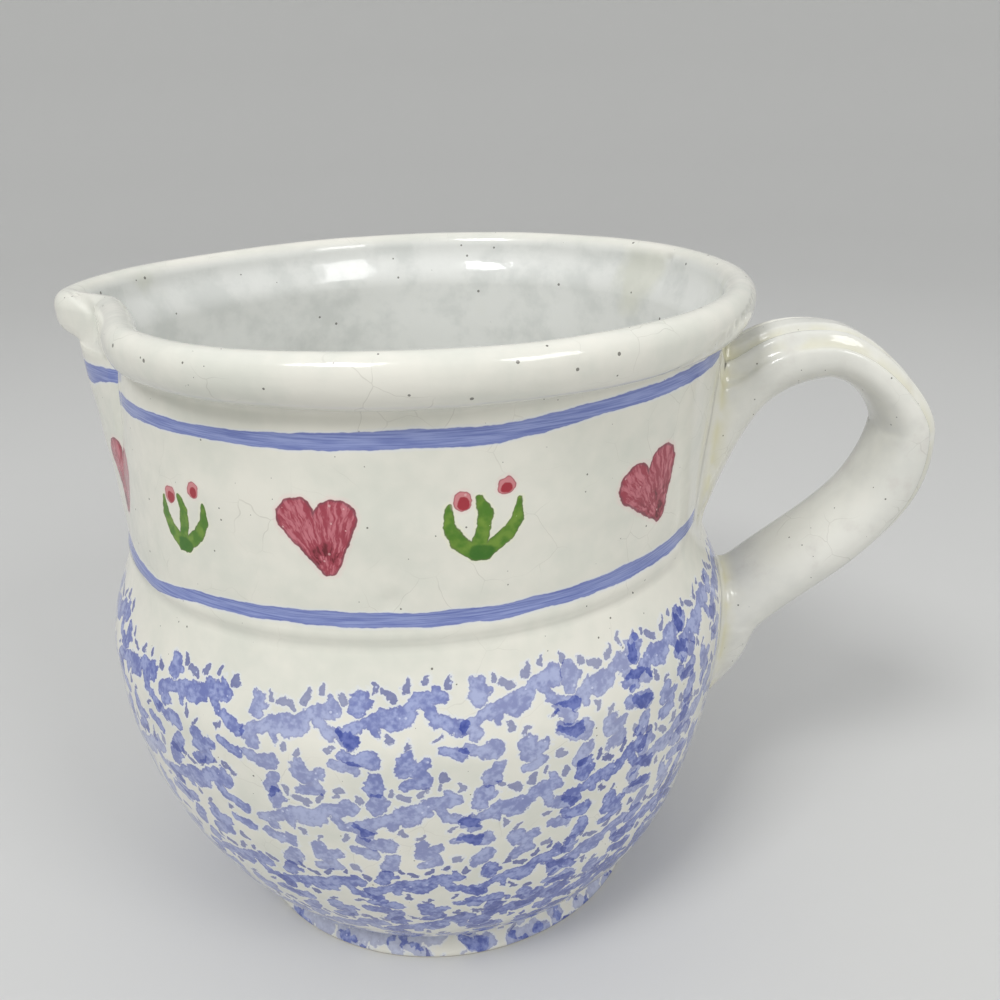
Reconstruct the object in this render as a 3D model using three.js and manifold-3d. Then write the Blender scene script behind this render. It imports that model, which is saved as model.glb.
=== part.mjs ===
// A wide-mouthed farmhouse pitcher of glazed earthenware: a round belly on a turned foot ring, a straight
// neck with a rolled rim, a pouring lip pulled out of the rim, and a ribbed strap handle pressed on.
// Each clay part that the potter forms is a solid of its own, and neighbours meet in a narrow slip joint.
// Millimetres, +Z up, with the handle along +X and the lip along -X. The pitcher is shaped round the axis
// of its foot and then set with the middle of its length over the origin, standing on the ground plane.
// The height of a point is its z, and its turn is its angle round the pot in degrees, 0 at the lip and
// growing over +Y, so that the handle is at 180.

import * as THREE from 'three';
import { mergeVertices } from 'three/addons/utils/BufferGeometryUtils.js';
import Module from 'manifold-3d';

const wasm = await Module();
wasm.setup();

// Slip joint between two clay parts
const joint = 0.3;

// Foot ring
const footHeight = 9;
const footRadius = 70.4;
const footTopRadius = 67;
const footInnerRadius = 57.3;
const footChamfer = 3;
const footEdge = 0.8;
const recessDepth = 5;

// Belly
const bellyRadius = 100.5;
const bellyHeight = 94;
const bellyWall = 6;
const floorThickness = 8;
const floorCorner = 22;
const waistRadius = 90.7;
const waistHeight = 132.8;
const bellySwell = 1.8;
const bellyRoundness = 0.68;
const shoulderFullness = 1.35;

// Neck
const neckRadius = 90;
const neckWall = 5.5;

// Rolled rim: its roll is an oval that hangs over a crease
const rimRadius = 98;
const rimHeight = 203.7;
const rollWidth = 9.2;
const rollCrown = 5;
const rollDrop = 14.2;
const creaseHeight = rimHeight - rollDrop;

// Pouring lip, with the throat below it and the finger pinch beside it
const lipReach = 12.3;
const lipNearAngles = [-19, -7];
const lipFarAngles = [-6, 50];
const lipUndercut = 1.5;
const lipFullness = 0.45;
const throatReach = 12.5;
const throatFlare = 0.8;
const throatNearAngles = [-31, -11];
const pinchDepth = 4.8;
const pinchAngle = -28;
const pinchSpreadAngle = 22;
const swellDepth = 1.4;
const swellAngle = -66;
const swellSpreadAngle = 18;
const lipJointNearAngle = -42;
const lipJointFarAngle = 54;

// Hand-thrown lean: how far the belly and the rim stand off the foot's axis, along X, and the height
// up to which the belly's start evens it out
const bellyLean = -2.7;
const rimLean = 3;
const leanHeight = 62;

// Middle line of the strap handle: it leaves the neck steeply, goes over the top and round the bend, and
// slants down into the belly. An arm is how far the curve keeps to its direction at a point, and a drop
// and a stand are how far a point lies below and outside the part of the pot that it follows.
const handleTopDrop = 9.5;
const handleTopStand = 33.4;
const handleTopArms = [20.6, 12.1];
const handleRootDrop = 36.5;
const handleRootAngle = 61;
const handleRootArm = 28.3;
const handleBendDrop = 25.2;
const handleBendStand = 49.8;
const handleBendArms = [7.8, 34.7];
const handleEndDrop = 13;
const handleEndAngle = 57;
const handleEndArm = 36;
const handleBed = 8;

// Strap of the handle, thinned where it goes round the bend, with finger grooves that fade out
const strapWidth = 28;
const strapThickness = 20;
const strapRootWidth = 38;
const strapSquareness = 0.88;
const rootShare = 0.19;
const bendThinning = 6.2;
const bendShare = 0.405;
const bendShareSpread = 0.2;
const grooveDepth = 1.8;
const grooveWidth = 5;
const grooveOffsets = [5.3, 11.2];
const grooveFade = [0.55, 0.75];
const rootTwistAngle = 14;
const middleTwistAngle = -7;
const endTwistAngle = -20;

// Tail of the handle, pressed down on the belly
const tailTopDrop = 5.3;
const tailTop = bellyHeight - tailTopDrop;
const tailLength = 31.7;
const tailTip = tailTop - tailLength;
const tailWidth = 25;
const tailTipWidth = 12.5;
const tailThickness = 13.2;
const tailFullness = 2.4;
const tailBed = 3;

// Fineness of the faceted surfaces: steps of turn in degrees, and counts of facets
const coarseAngle = 5;
const fineAngle = 2.5;
const fineFromAngle = -50;
const fineToAngle = 60;
const bellyFacets = 20;
const neckFacets = 5;
const rollFacets = 8;
const rootFacets = 8;
const strapFacets = 32;
const strapSides = 30;
const tailFacets = 9;
const tailSides = 16;

const glaze = { color: 0xe6e4d8, roughness: 0.15, metalness: 0 };
const bareEdge = { color: 0xdcd6c4, roughness: 0.3, metalness: 0 };

const radians = THREE.MathUtils.degToRad;
const smooth = THREE.MathUtils.smoothstep;
const blend = THREE.MathUtils.lerp;

// 1 in the middle and 0 from -1 and 1 outwards
function bump(x) {
  return Math.abs(x) < 1 ? (1 - x * x) ** 2 : 0;
}

// How far the pot's axis stands off the foot's axis at a height
function lean(z) {
  if (z < waistHeight) return bellyLean * smooth(z, footHeight, leanHeight);
  return blend(bellyLean, rimLean, Math.min(1, (z - waistHeight) / (creaseHeight - waistHeight)));
}

// A point of the pot from its radius, turn and height
function around(radius, turn, z) {
  const angle = radians(turn);
  return new THREE.Vector3(lean(z) - radius * Math.cos(angle), radius * Math.sin(angle), z);
}

// The same turn between -180 and 180
function wrapped(turn) {
  return turn > 180 ? turn - 360 : turn;
}

// Where the lip or its throat stands out: 1 across it and 0 beyond its edges
function tongue(turn, nearAngles) {
  return smooth(wrapped(turn), ...nearAngles) * (1 - smooth(wrapped(turn), ...lipFarAngles));
}

// Outer radius of the belly: a full curve out to the widest part and an S curve in to the waist
function bellyOuter(z) {
  if (z < bellyHeight) {
    const down = (bellyHeight - z) / (bellyHeight - footHeight);
    return footTopRadius + (bellyRadius - footTopRadius) * (1 - down ** bellySwell) ** bellyRoundness;
  }
  const up = Math.min(1, (z - bellyHeight) / (waistHeight - bellyHeight));
  const inward = (1 - Math.cos(Math.PI * up ** shoulderFullness)) / 2;
  return blend(bellyRadius, waistRadius, inward);
}

// Outer radius of the neck, with the throat that widens up to the lip
function neckOuter(turn, z) {
  const rise = Math.max(0, z - waistHeight) / (creaseHeight - waistHeight);
  const throat = throatReach * rise ** throatFlare * tongue(turn, throatNearAngles);
  return blend(waistRadius, neckRadius, rise) + throat;
}

// Height of the crease under the rim, which is cut higher under the lip
function creaseAt(turn) {
  return creaseHeight + lipUndercut * tongue(turn, lipNearAngles);
}

// Outer radius of the clay wall anywhere below the rim
function wallOuter(turn, z) {
  return z < waistHeight ? bellyOuter(z) : neckOuter(turn, z);
}

// Middle line of the rim's roll, seen from above
function rollPath(turn, z) {
  const pinch = pinchDepth * bump((wrapped(turn) - pinchAngle) / pinchSpreadAngle);
  const swell = swellDepth * bump((wrapped(turn) - swellAngle) / swellSpreadAngle);
  const radius = rimRadius - rollWidth / 2 + lipReach * tongue(turn, lipNearAngles) - pinch + swell;
  return around(radius, turn, z);
}

// Turns from one to another, closer together round the lip
function turnsBetween(from, to) {
  const turns = [from];
  while (turns.at(-1) < to) {
    const last = turns.at(-1);
    const fine = last >= fineFromAngle && last < fineToAngle;
    const step = fine ? fineAngle : coarseAngle;
    const next = (Math.floor(last / step + 1e-6) + 1) * step;
    turns.push(to - next < fineAngle / 2 ? to : next);
  }
  return turns;
}

// Evenly spaced numbers, both ends among them
function spread(from, to, steps) {
  return Array.from({ length: steps + 1 }, (_, i) => blend(from, to, i / steps));
}

// Skin through a row of rings of as many points each. The row closes on itself or ends in flat caps.
function loft(rings, closed) {
  const across = rings[0].length;
  const positions = rings.flat().flatMap((point) => point.toArray());
  const index = [];
  const spans = closed ? rings.length : rings.length - 1;
  for (let i = 0; i < spans; i++) {
    const here = i * across;
    const there = ((i + 1) % rings.length) * across;
    for (let j = 0; j < across; j++) {
      const k = (j + 1) % across;
      index.push(here + j, there + j, there + k, here + j, there + k, here + k);
    }
  }
  if (!closed) {
    index.push(...cap(rings[0], 0, false));
    index.push(...cap(rings.at(-1), (rings.length - 1) * across, true));
  }
  const geometry = new THREE.BufferGeometry();
  geometry.setAttribute('position', new THREE.Float32BufferAttribute(positions, 3));
  geometry.setIndex(index);
  return facingOut(geometry);
}

// Triangles that close one ring, numbered from its first vertex, either way round
function cap(ring, first, clockwise) {
  const middle = ring.reduce((sum, p) => sum.add(p), new THREE.Vector3()).divideScalar(ring.length);
  const normal = new THREE.Vector3();
  ring.forEach((p, i) => {
    const next = ring[(i + 1) % ring.length];
    normal.add(p.clone().sub(middle).cross(next.clone().sub(middle)));
  });
  normal.normalize();
  const across = ring[0].clone().sub(middle).normalize();
  const up = normal.clone().cross(across);
  const flat = ring.map((p) => {
    const offset = p.clone().sub(middle);
    return new THREE.Vector2(offset.dot(across), offset.dot(up));
  });
  return THREE.ShapeUtils.triangulateShape(flat, []).flatMap((corners) => {
    const isClockwise = THREE.ShapeUtils.isClockWise(corners.map((i) => flat[i]));
    const ordered = isClockwise === clockwise ? corners : corners.toReversed();
    return ordered.map((i) => first + i);
  });
}

// Turns a closed skin right side out
function facingOut(geometry) {
  const position = geometry.getAttribute('position');
  const index = geometry.index.array;
  const [a, b, c] = [new THREE.Vector3(), new THREE.Vector3(), new THREE.Vector3()];
  let volume = 0;
  for (let i = 0; i < index.length; i += 3) {
    a.fromBufferAttribute(position, index[i]);
    b.fromBufferAttribute(position, index[i + 1]);
    c.fromBufferAttribute(position, index[i + 2]);
    volume += a.dot(b.cross(c));
  }
  if (volume < 0) {
    for (let i = 0; i < index.length; i += 3) {
      [index[i], index[i + 1]] = [index[i + 1], index[i]];
    }
  }
  return geometry;
}

// Closed profile of [radius, height] points turned on the wheel, then leant with the pot
function thrown(profile) {
  const points = profile.map(([radius, z]) => new THREE.Vector2(radius, z));
  const geometry = new THREE.LatheGeometry(points, 360 / coarseAngle);
  geometry.rotateX(Math.PI / 2);
  const position = geometry.getAttribute('position');
  for (let i = 0; i < position.count; i++) {
    position.setX(i, position.getX(i) + lean(position.getZ(i)));
  }
  geometry.deleteAttribute('normal');
  geometry.deleteAttribute('uv');
  return facingOut(mergeVertices(geometry, 1e-4));
}

// Geometry to solid and back, for cutting one clay part to the shape of another
function solid(geometry) {
  const bare = geometry.clone();
  bare.deleteAttribute('normal');
  bare.deleteAttribute('uv');
  const merged = mergeVertices(bare, 1e-4);
  const vertProperties = new Float32Array(merged.getAttribute('position').array);
  const triVerts = new Uint32Array(merged.index.array);
  return new wasm.Manifold(new wasm.Mesh({ numProp: 3, vertProperties, triVerts }));
}

function skin(cut) {
  const mesh = cut.getMesh();
  const geometry = new THREE.BufferGeometry();
  geometry.setAttribute('position', new THREE.Float32BufferAttribute(mesh.vertProperties, 3));
  geometry.setIndex(Array.from(mesh.triVerts));
  return geometry;
}

// Foot ring: a flat tread, flared outside and cut back inside
function footRing() {
  const top = footHeight - joint;
  const flare = new THREE.QuadraticBezierCurve(
    new THREE.Vector2(footRadius, footEdge),
    new THREE.Vector2(footTopRadius, footEdge),
    new THREE.Vector2(footTopRadius, top),
  );
  return thrown([
    [footInnerRadius, top],
    [footInnerRadius, footChamfer],
    [footInnerRadius + footChamfer, 0],
    [footRadius - footEdge, 0],
    ...flare.getPoints(3).map((point) => point.toArray()),
    [footInnerRadius, top],
  ]);
}

// Belly with its floor, which drops a little way into the foot ring
function belly() {
  const top = waistHeight - joint / 2;
  const floor = recessDepth + floorThickness;
  const cornerRadius = bellyOuter(floor + floorCorner) - bellyWall;
  const outer = bellyHeights().map((z) => [bellyOuter(z), z]);
  const inside = spread(top, floor + floorCorner, bellyFacets / 2);
  const inner = inside.map((z) => [bellyOuter(z) - bellyWall, z]);
  const corner = spread(0, 90, 4).slice(1).map((angle) => [
    cornerRadius - floorCorner * (1 - Math.cos(radians(angle))),
    floor + floorCorner * (1 - Math.sin(radians(angle))),
  ]);
  return thrown([
    [0, recessDepth],
    [footInnerRadius - joint, recessDepth],
    [footInnerRadius - joint, footHeight],
    ...outer,
    ...inner,
    ...corner,
    [0, floor],
  ]);
}

// Heights of the belly's facets, from the foot to the waist
function bellyHeights() {
  const below = spread(footHeight, bellyHeight, bellyFacets * 0.6);
  const above = spread(bellyHeight, waistHeight - joint / 2, bellyFacets * 0.4);
  return [...below, ...above.slice(1)];
}

function neckHeights(turn) {
  return spread(waistHeight + joint / 2, creaseAt(turn), neckFacets);
}

// Neck: an upright wall, with the throat of the lip pushed out of it
function neck() {
  const rings = turnsBetween(-180, 180).slice(0, -1).map((turn) => {
    const heights = neckHeights(turn);
    const outside = heights.map((z) => around(neckOuter(turn, z), turn, z));
    const inside = heights.toReversed().map((z) => around(neckOuter(turn, z) - neckWall, turn, z));
    return [...outside, ...inside];
  });
  return loft(rings, true);
}

// One section of the rim: a crowned roll over the crease, which slopes down to the wall inside
function rimSection(turn) {
  const foot = creaseAt(turn) + joint;
  const middle = rimHeight - rollCrown;
  const ahead = rollPath(turn + 0.5, middle).sub(rollPath(turn - 0.5, middle));
  const outward = new THREE.Vector3(-ahead.y, ahead.x, 0).normalize();
  const centre = rollPath(turn, middle);
  const wallTop = neckOuter(turn, creaseAt(turn));
  const crease = around(wallTop, turn, foot);
  const wallInside = around(wallTop - neckWall, turn, foot);
  const widest = centre.clone().addScaledVector(outward, rollWidth / 2);
  const fullness = 1 - lipFullness * tongue(turn, lipNearAngles);
  const under = spread(90, 0, rollFacets / 2).map((angle) => {
    const point = crease.clone().lerp(widest, Math.cos(radians(angle)) ** fullness);
    point.z = blend(middle, foot, Math.sin(radians(angle)) ** fullness);
    return point;
  });
  const crown = spread(0, 180, rollFacets).slice(1).map((angle) => {
    const point = centre.clone().addScaledVector(outward, (rollWidth / 2) * Math.cos(radians(angle)));
    point.z += rollCrown * Math.sin(radians(angle));
    return point;
  });
  return [...under, ...crown, wallInside];
}

// Stretch of the rim between two turns
function rimStretch(from, to) {
  return loft(turnsBetween(from, to).map(rimSection), false);
}

// The slip joint between the rim and the lip as a turn, at the inside of the neck
const jointAngle = THREE.MathUtils.radToDeg(joint / (neckRadius - neckWall));

// The rolled rim runs round the back of the pot, from one side of the lip to the other
function rolledRim() {
  return rimStretch(lipJointFarAngle + jointAngle / 2, 360 + lipJointNearAngle - jointAngle / 2);
}

function pouringLip() {
  return rimStretch(lipJointNearAngle + jointAngle / 2, lipJointFarAngle - jointAngle / 2);
}

// A point of the handle's middle line, which lies in the plane y = 0
function at(x, z) {
  return new THREE.Vector3(x, 0, z);
}

// A step from a point of that line, at a slope in degrees
function step(from, slope, length) {
  return from.clone().add(at(length * Math.cos(radians(slope)), length * Math.sin(radians(slope))));
}

// Middle line of the handle, from inside the neck's wall to inside the belly's
function handleLine() {
  const top = at(neckRadius + handleTopStand, creaseHeight - handleTopDrop);
  const root = at(neckRadius - handleBed, top.z - handleRootDrop);
  const bend = at(bellyRadius + handleBendStand, top.z - handleBendDrop);
  const end = at(bellyRadius - handleBed, bellyHeight - handleEndDrop);
  const arch = [
    [root, step(root, handleRootAngle, handleRootArm), step(top, 180, handleTopArms[0]), top],
    [top, step(top, 0, handleTopArms[1]), step(bend, 90, handleBendArms[0]), bend],
    [bend, step(bend, -90, handleBendArms[1]), step(end, handleEndAngle, handleEndArm), end],
  ];
  const line = new THREE.CurvePath();
  arch.forEach((points) => line.add(new THREE.CubicBezierCurve3(...points)));
  return line;
}

const handlePath = handleLine();

// How far the strap is twisted about its middle line, in degrees, at a share of its length
function twistAt(share) {
  const early = blend(rootTwistAngle, middleTwistAngle, share * 2);
  const late = blend(middleTwistAngle, endTwistAngle, share * 2 - 1);
  return share < 0.5 ? early : late;
}

// One section of the strap: a flattened oval with two finger grooves along either side of its outer face
function strapSection(share, grow) {
  const centre = handlePath.getPointAt(share);
  const along = handlePath.getTangentAt(share);
  const twist = radians(twistAt(share));
  const side = new THREE.Vector3(0, 1, 0);
  const outer = side.clone().cross(along).negate();
  const across = side.clone().multiplyScalar(Math.cos(twist)).addScaledVector(outer, Math.sin(twist));
  const up = outer.clone().multiplyScalar(Math.cos(twist)).addScaledVector(side, -Math.sin(twist));
  const flare = (strapRootWidth - strapWidth) * (1 - smooth(share, 0, rootShare));
  const halfWidth = (strapWidth + flare) / 2 + grow;
  const thinning = bendThinning * bump((share - bendShare) / bendShareSpread);
  const halfThickness = (strapThickness - thinning) / 2 + grow;
  const depth = grooveDepth * (1 - smooth(share, ...grooveFade));
  return spread(0, 360, strapSides).slice(1).map((degrees) => {
    const x = halfWidth * squared(Math.cos(radians(degrees)));
    const y = halfThickness * squared(Math.sin(radians(degrees)));
    const fits = grooveOffsets.map((offset) => bump((Math.abs(x) - offset) / (grooveWidth / 2)));
    const groove = y > 0 ? depth * Math.max(...fits) : 0;
    return centre.clone().addScaledVector(across, x).addScaledVector(up, y - groove);
  });
}

// Pushes a sine or cosine outwards, which turns an oval into a squarer one
function squared(value) {
  return Math.sign(value) * Math.abs(value) ** strapSquareness;
}

function strapStretch(from, to, steps, grow = 0) {
  return solid(loft(spread(from, to, steps).map((share) => strapSection(share, grow)), false));
}

// The pot's outside, swollen by the joint, which trims whatever is pressed onto it
function wallTrim() {
  const heights = [...bellyHeights(), ...neckHeights(180)].filter((z) => z > footHeight + joint);
  const turns = turnsBetween(-180, 180).slice(0, -1);
  const rings = heights.map((z) => turns.map((turn) => around(wallOuter(turn, z) + joint, turn, z)));
  return solid(loft(rings, false));
}

const trim = wallTrim();

// Upper root: the flared end of the handle that is smeared onto the neck
function handleRoot() {
  return skin(strapStretch(0, rootShare, rootFacets).subtract(trim));
}

// Free strap, from the root round to the belly
function handleStrap() {
  const start = rootShare + joint / handlePath.getLength();
  return skin(strapStretch(start, 1, strapFacets).subtract(trim));
}

// Tail: the strap's tapered end, thumbed down onto the belly under it
function handleTail() {
  const rings = spread(0, 1, tailFacets).map(tailSection);
  const strap = strapStretch(0.5, 1, strapFacets / 2, joint);
  return skin(solid(loft(rings, false)).subtract(trim).subtract(strap));
}

// One level section of the tail, an oval that follows the belly and sinks into it towards the tip
function tailSection(share) {
  const z = blend(tailTop, tailTip, share);
  const stand = tailThickness * (1 - share ** tailFullness);
  const narrowing = 1 - (tailTipWidth / tailWidth) ** 2;
  const halfWidth = (tailWidth / 2) * Math.sqrt(1 - narrowing * share ** 2);
  const halfThickness = (stand + tailBed) / 2;
  const middle = bellyOuter(z) + halfThickness - tailBed;
  return spread(0, 360, tailSides).slice(1).map((degrees) => {
    const across = halfWidth * Math.cos(radians(degrees));
    const out = middle + halfThickness * Math.sin(radians(degrees));
    return new THREE.Vector3(lean(z) + Math.sqrt(out * out - across * across), across, z);
  });
}

const pitcher = new THREE.Group();

function place(name, geometry, finish) {
  const flat = geometry.index ? geometry.toNonIndexed() : geometry;
  flat.computeVertexNormals();
  const mesh = new THREE.Mesh(flat, new THREE.MeshStandardMaterial(finish));
  mesh.name = name;
  pitcher.add(mesh);
}

place('foot_ring', footRing(), bareEdge);
place('belly', belly(), glaze);
place('neck', neck(), glaze);
place('rolled_rim', rolledRim(), glaze);
place('pouring_lip', pouringLip(), glaze);
place('handle_root', handleRoot(), glaze);
place('handle_strap', handleStrap(), glaze);
place('handle_tail', handleTail(), glaze);

const length = new THREE.Box3().setFromObject(pitcher);
pitcher.position.x = -(length.min.x + length.max.x) / 2;

export default pitcher;
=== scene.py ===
"""The finished look of a hand-thrown earthenware pitcher: one glazed skin over the clay parts of the frame,
painted with hearts, leaf sprigs and blue bands, and sponged with blue on the belly.

Sizes are in millimetres and become metres when a piece is finished. The turn of a point is its angle round
the pot in degrees: 0 at the lip, 180 at the handle, growing over +Y. Its height is z.
"""

import math
import random

import bmesh
import bpy
import numpy as np
from mathutils import Matrix, Vector, noise


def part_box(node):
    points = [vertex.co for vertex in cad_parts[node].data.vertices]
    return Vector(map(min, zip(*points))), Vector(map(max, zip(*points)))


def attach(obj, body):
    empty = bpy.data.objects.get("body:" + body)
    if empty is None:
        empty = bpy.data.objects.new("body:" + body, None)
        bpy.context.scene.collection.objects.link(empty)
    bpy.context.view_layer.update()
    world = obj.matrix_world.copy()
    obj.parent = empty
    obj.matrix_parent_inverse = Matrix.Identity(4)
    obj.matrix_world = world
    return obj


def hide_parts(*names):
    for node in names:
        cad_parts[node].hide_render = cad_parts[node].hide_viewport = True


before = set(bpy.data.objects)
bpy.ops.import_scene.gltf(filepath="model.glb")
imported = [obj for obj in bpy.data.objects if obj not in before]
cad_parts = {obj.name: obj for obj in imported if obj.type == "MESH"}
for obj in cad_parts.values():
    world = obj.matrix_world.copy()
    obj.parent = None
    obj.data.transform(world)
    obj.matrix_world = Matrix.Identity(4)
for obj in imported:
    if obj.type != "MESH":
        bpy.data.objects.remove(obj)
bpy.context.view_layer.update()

MM = 0.001
foot_low, foot_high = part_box("foot_ring")
AXIS = (foot_low.x + foot_high.x) / 2 / MM

# Foot and belly
FOOT_HEIGHT = 9
FOOT_TOP_RADIUS = 67
RECESS_DEPTH = 5
BELLY_RADIUS = 100.5
BELLY_HEIGHT = 94
BELLY_WALL = 6
FLOOR_HEIGHT = 13
FLOOR_CORNER = 22
WAIST_RADIUS = 90.7
WAIST_HEIGHT = 132.8
BELLY_SWELL = 1.8
BELLY_ROUNDNESS = 0.68
SHOULDER_FULLNESS = 1.35

# Neck and rim
NECK_RADIUS = 90
NECK_WALL = 5.5
CREASE_HEIGHT = 189.5
RIM_RADIUS = 98
RIM_HEIGHT = 203.7
ROLL_WIDTH = 9.2
ROLL_CROWN = 5

# Lip, throat and finger pinch
LIP_REACH = 12.3
LIP_NEAR_EDGE = (-19, -7)
LIP_FAR_EDGE = (-6, 50)
LIP_UNDERCUT = 1.5
LIP_FULLNESS = 0.45
THROAT_REACH = 12.5
THROAT_FLARE = 0.8
THROAT_NEAR_EDGE = (-31, -11)
PINCH = (4.8, -28, 22)
SWELL = (1.4, -66, 18)

# Lean of the pot
BELLY_LEAN = -2.7
RIM_LEAN = 3
LEAN_HEIGHT = 62

# Handle: points and arms of its middle line in the plane of the pot's axis, and its strap
HANDLE_LINE = [
    [(82, 143.5), (95.72, 168.25), (102.8, 180), (123.4, 180)],
    [(123.4, 180), (135.5, 180), (150.3, 162.6), (150.3, 154.8)],
    [(150.3, 154.8), (150.3, 120.1), (112.11, 111.19), (92.5, 81)],
]
STRAP_WIDTH = 28
STRAP_THICKNESS = 20
BEND_THINNING = 6.2
BEND_SHARE = 0.405
BEND_SPREAD = 0.2
STRAP_SQUARENESS = 0.88
STRAP_ROOT_WIDTH = 38
ROOT_SHARE = 0.19
GROOVE_DEPTH = 1.8
GROOVE_WIDTH = 5
GROOVE_OFFSETS = (5.3, 11.2)
GROOVE_FADE = (0.55, 0.75)
GROOVE_START = (0.08, 0.2)
TWISTS = (14, -7, -20)
TAIL_TOP = 88.7
TAIL_TIP = 57
TAIL_WIDTH = 25
TAIL_TIP_WIDTH = 12.5
TAIL_THICKNESS = 13.2
TAIL_FULLNESS = 2.4
TAIL_BED = 3


def mix(a, b, share):
    return a + (b - a) * share


def smooth(x, start, end):
    t = min(1, max(0, (x - start) / (end - start)))
    return t * t * (3 - 2 * t)


def bump(x):
    """1 in the middle and 0 from -1 and 1 outwards."""
    return (1 - x * x) ** 2 if abs(x) < 1 else 0


def wrapped(turn):
    return (turn + 180) % 360 - 180


def from_table(table, x):
    """Straight lines between (x, value) pairs, level beyond the ends."""
    if x <= table[0][0]:
        return table[0][1]
    for (x0, y0), (x1, y1) in zip(table, table[1:]):
        if x <= x1:
            return mix(y0, y1, (x - x0) / (x1 - x0))
    return table[-1][1]


def lean(z):
    if z < WAIST_HEIGHT:
        return BELLY_LEAN * smooth(z, FOOT_HEIGHT, LEAN_HEIGHT)
    return mix(BELLY_LEAN, RIM_LEAN, min(1, (z - WAIST_HEIGHT) / (CREASE_HEIGHT - WAIST_HEIGHT)))


def tongue(turn, near_edge):
    """1 across the lip or its throat and 0 beyond its edges."""
    return smooth(turn, *near_edge) * (1 - smooth(turn, *LIP_FAR_EDGE))


def belly_outer(z):
    if z < BELLY_HEIGHT:
        down = min(1, (BELLY_HEIGHT - z) / (BELLY_HEIGHT - FOOT_HEIGHT))
        return FOOT_TOP_RADIUS + (BELLY_RADIUS - FOOT_TOP_RADIUS) * (1 - down**BELLY_SWELL) ** BELLY_ROUNDNESS
    up = min(1, (z - BELLY_HEIGHT) / (WAIST_HEIGHT - BELLY_HEIGHT))
    return mix(BELLY_RADIUS, WAIST_RADIUS, (1 - math.cos(math.pi * up**SHOULDER_FULLNESS)) / 2)


def rise(z):
    return min(1, max(0, z - WAIST_HEIGHT) / (CREASE_HEIGHT - WAIST_HEIGHT))


def throat(turn, z):
    """How far the throat of the lip is pushed out of the neck."""
    return THROAT_REACH * rise(z) ** THROAT_FLARE * tongue(turn, THROAT_NEAR_EDGE)


def wall_outer(turn, z):
    if z < WAIST_HEIGHT:
        return belly_outer(z)
    return mix(WAIST_RADIUS, NECK_RADIUS, rise(z)) + throat(turn, z)


def crease_at(turn):
    return CREASE_HEIGHT + LIP_UNDERCUT * tongue(turn, LIP_NEAR_EDGE)


def around(radius, turn, z):
    """A point of the pot, in millimetres."""
    angle = math.radians(turn)
    return Vector((AXIS + lean(z) - radius * math.cos(angle), radius * math.sin(angle), z))


def ripple(turn, z, grain, seed):
    """Even noise round the pot, whose grain is in millimetres."""
    return noise.noise(around(95, turn, z) / grain + Vector((seed, 0, 0)))


# The wall below the rim as tables, with the length of its outline up from the foot

WALL_Z = np.concatenate([np.linspace(9, 12, 300, endpoint=False), np.linspace(12, 200, 1880)])
WALL_R = np.array([wall_outer(180, z) for z in WALL_Z])
WALL_LEAN = np.array([lean(z) for z in WALL_Z])
WALL_LENGTH = np.concatenate([[0], np.cumsum(np.hypot(np.diff(WALL_Z), np.diff(WALL_R)))])
PRINT_TOP = 121
PRINT_TOP_LENGTH = float(np.interp(PRINT_TOP, WALL_Z, WALL_LENGTH))


def below_prints_top(z):
    """Length of the outline down from the height where the sponging starts."""
    return PRINT_TOP_LENGTH - float(np.interp(z, WALL_Z, WALL_LENGTH))


# Forms of the thrown wall that are too small for the clay parts of the frame

VALLEY_TURN = -27.5
VALLEY_DEPTH = 1.1
VALLEY_WIDTH = 2.4
BEAD_HEIGHT = 131.5
GROOVE_HEIGHT = 128.6


def beside_handle(turn):
    """1 where the handle is pressed on and the wall is smoothed, 0 elsewhere."""
    return 1 - smooth(180 - abs(turn), 20, 32)


def outside_detail(turn, z):
    """The finger's valley beside the throat, the bead and groove under the lower band, the dimple above it,
    and the unevenness that the hands leave."""
    valley = VALLEY_DEPTH * bump((turn - VALLEY_TURN) / VALLEY_WIDTH) * smooth(z, 150, 176)
    bead = 0.9 * bump((z - BEAD_HEIGHT) / 2.6)
    groove = 0.6 * bump((z - GROOVE_HEIGHT) / 2.2)
    dimple = 0.8 * bump(math.hypot((turn + 94) * 1.58, z - 141) / 4)
    rings = 0.12 * math.sin(z / 3.1 + 1.2 * ripple(turn, z, 60, 3)) * smooth(z, 12, 30)
    hand = 0.35 * ripple(turn, z, 34, 1) + 0.1 * ripple(turn, z, 11, 2)
    free = 1 - beside_handle(turn)
    return (bead - groove + rings + hand * smooth(z, 8, 20)) * free - valley - dimple


# Rim and lip

MIDDLE_HEIGHT = RIM_HEIGHT - ROLL_CROWN


def roll_path(turn):
    side = wrapped(turn)
    pinch = PINCH[0] * bump((side - PINCH[1]) / PINCH[2])
    swell = SWELL[0] * bump((side - SWELL[1]) / SWELL[2])
    radius = RIM_RADIUS - ROLL_WIDTH / 2 + LIP_REACH * tongue(side, LIP_NEAR_EDGE) - pinch + swell
    return around(radius, turn, MIDDLE_HEIGHT)


# Folds and seams pressed into the roll: depth, width in degrees of turn, and the line that each follows
# as (swing, turn) pairs. The swing runs from -90 in the crease over 0 at the widest to 180 inside.
FOLDS = [
    (1.0, 2.3, [(-80, -21.5), (-40, -19.5), (0, -17.5), (60, -13.5), (100, -10.5)], (-80, -60, 80, 110)),
    (0.35, 0.7, [(-80, -21.5), (-40, -19.2), (0, -16.8), (60, -12.8), (100, -10)], (-80, -60, 70, 100)),
    (0.45, 1.0, [(-70, -34), (-30, -31.5), (10, -29.5)], (-72, -55, -5, 12)),
    (0.8, 1.1, [(-88, -131), (-50, -139), (0, -152), (30, -164), (60, -172)], (-88, -75, 10, 60)),
]


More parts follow.
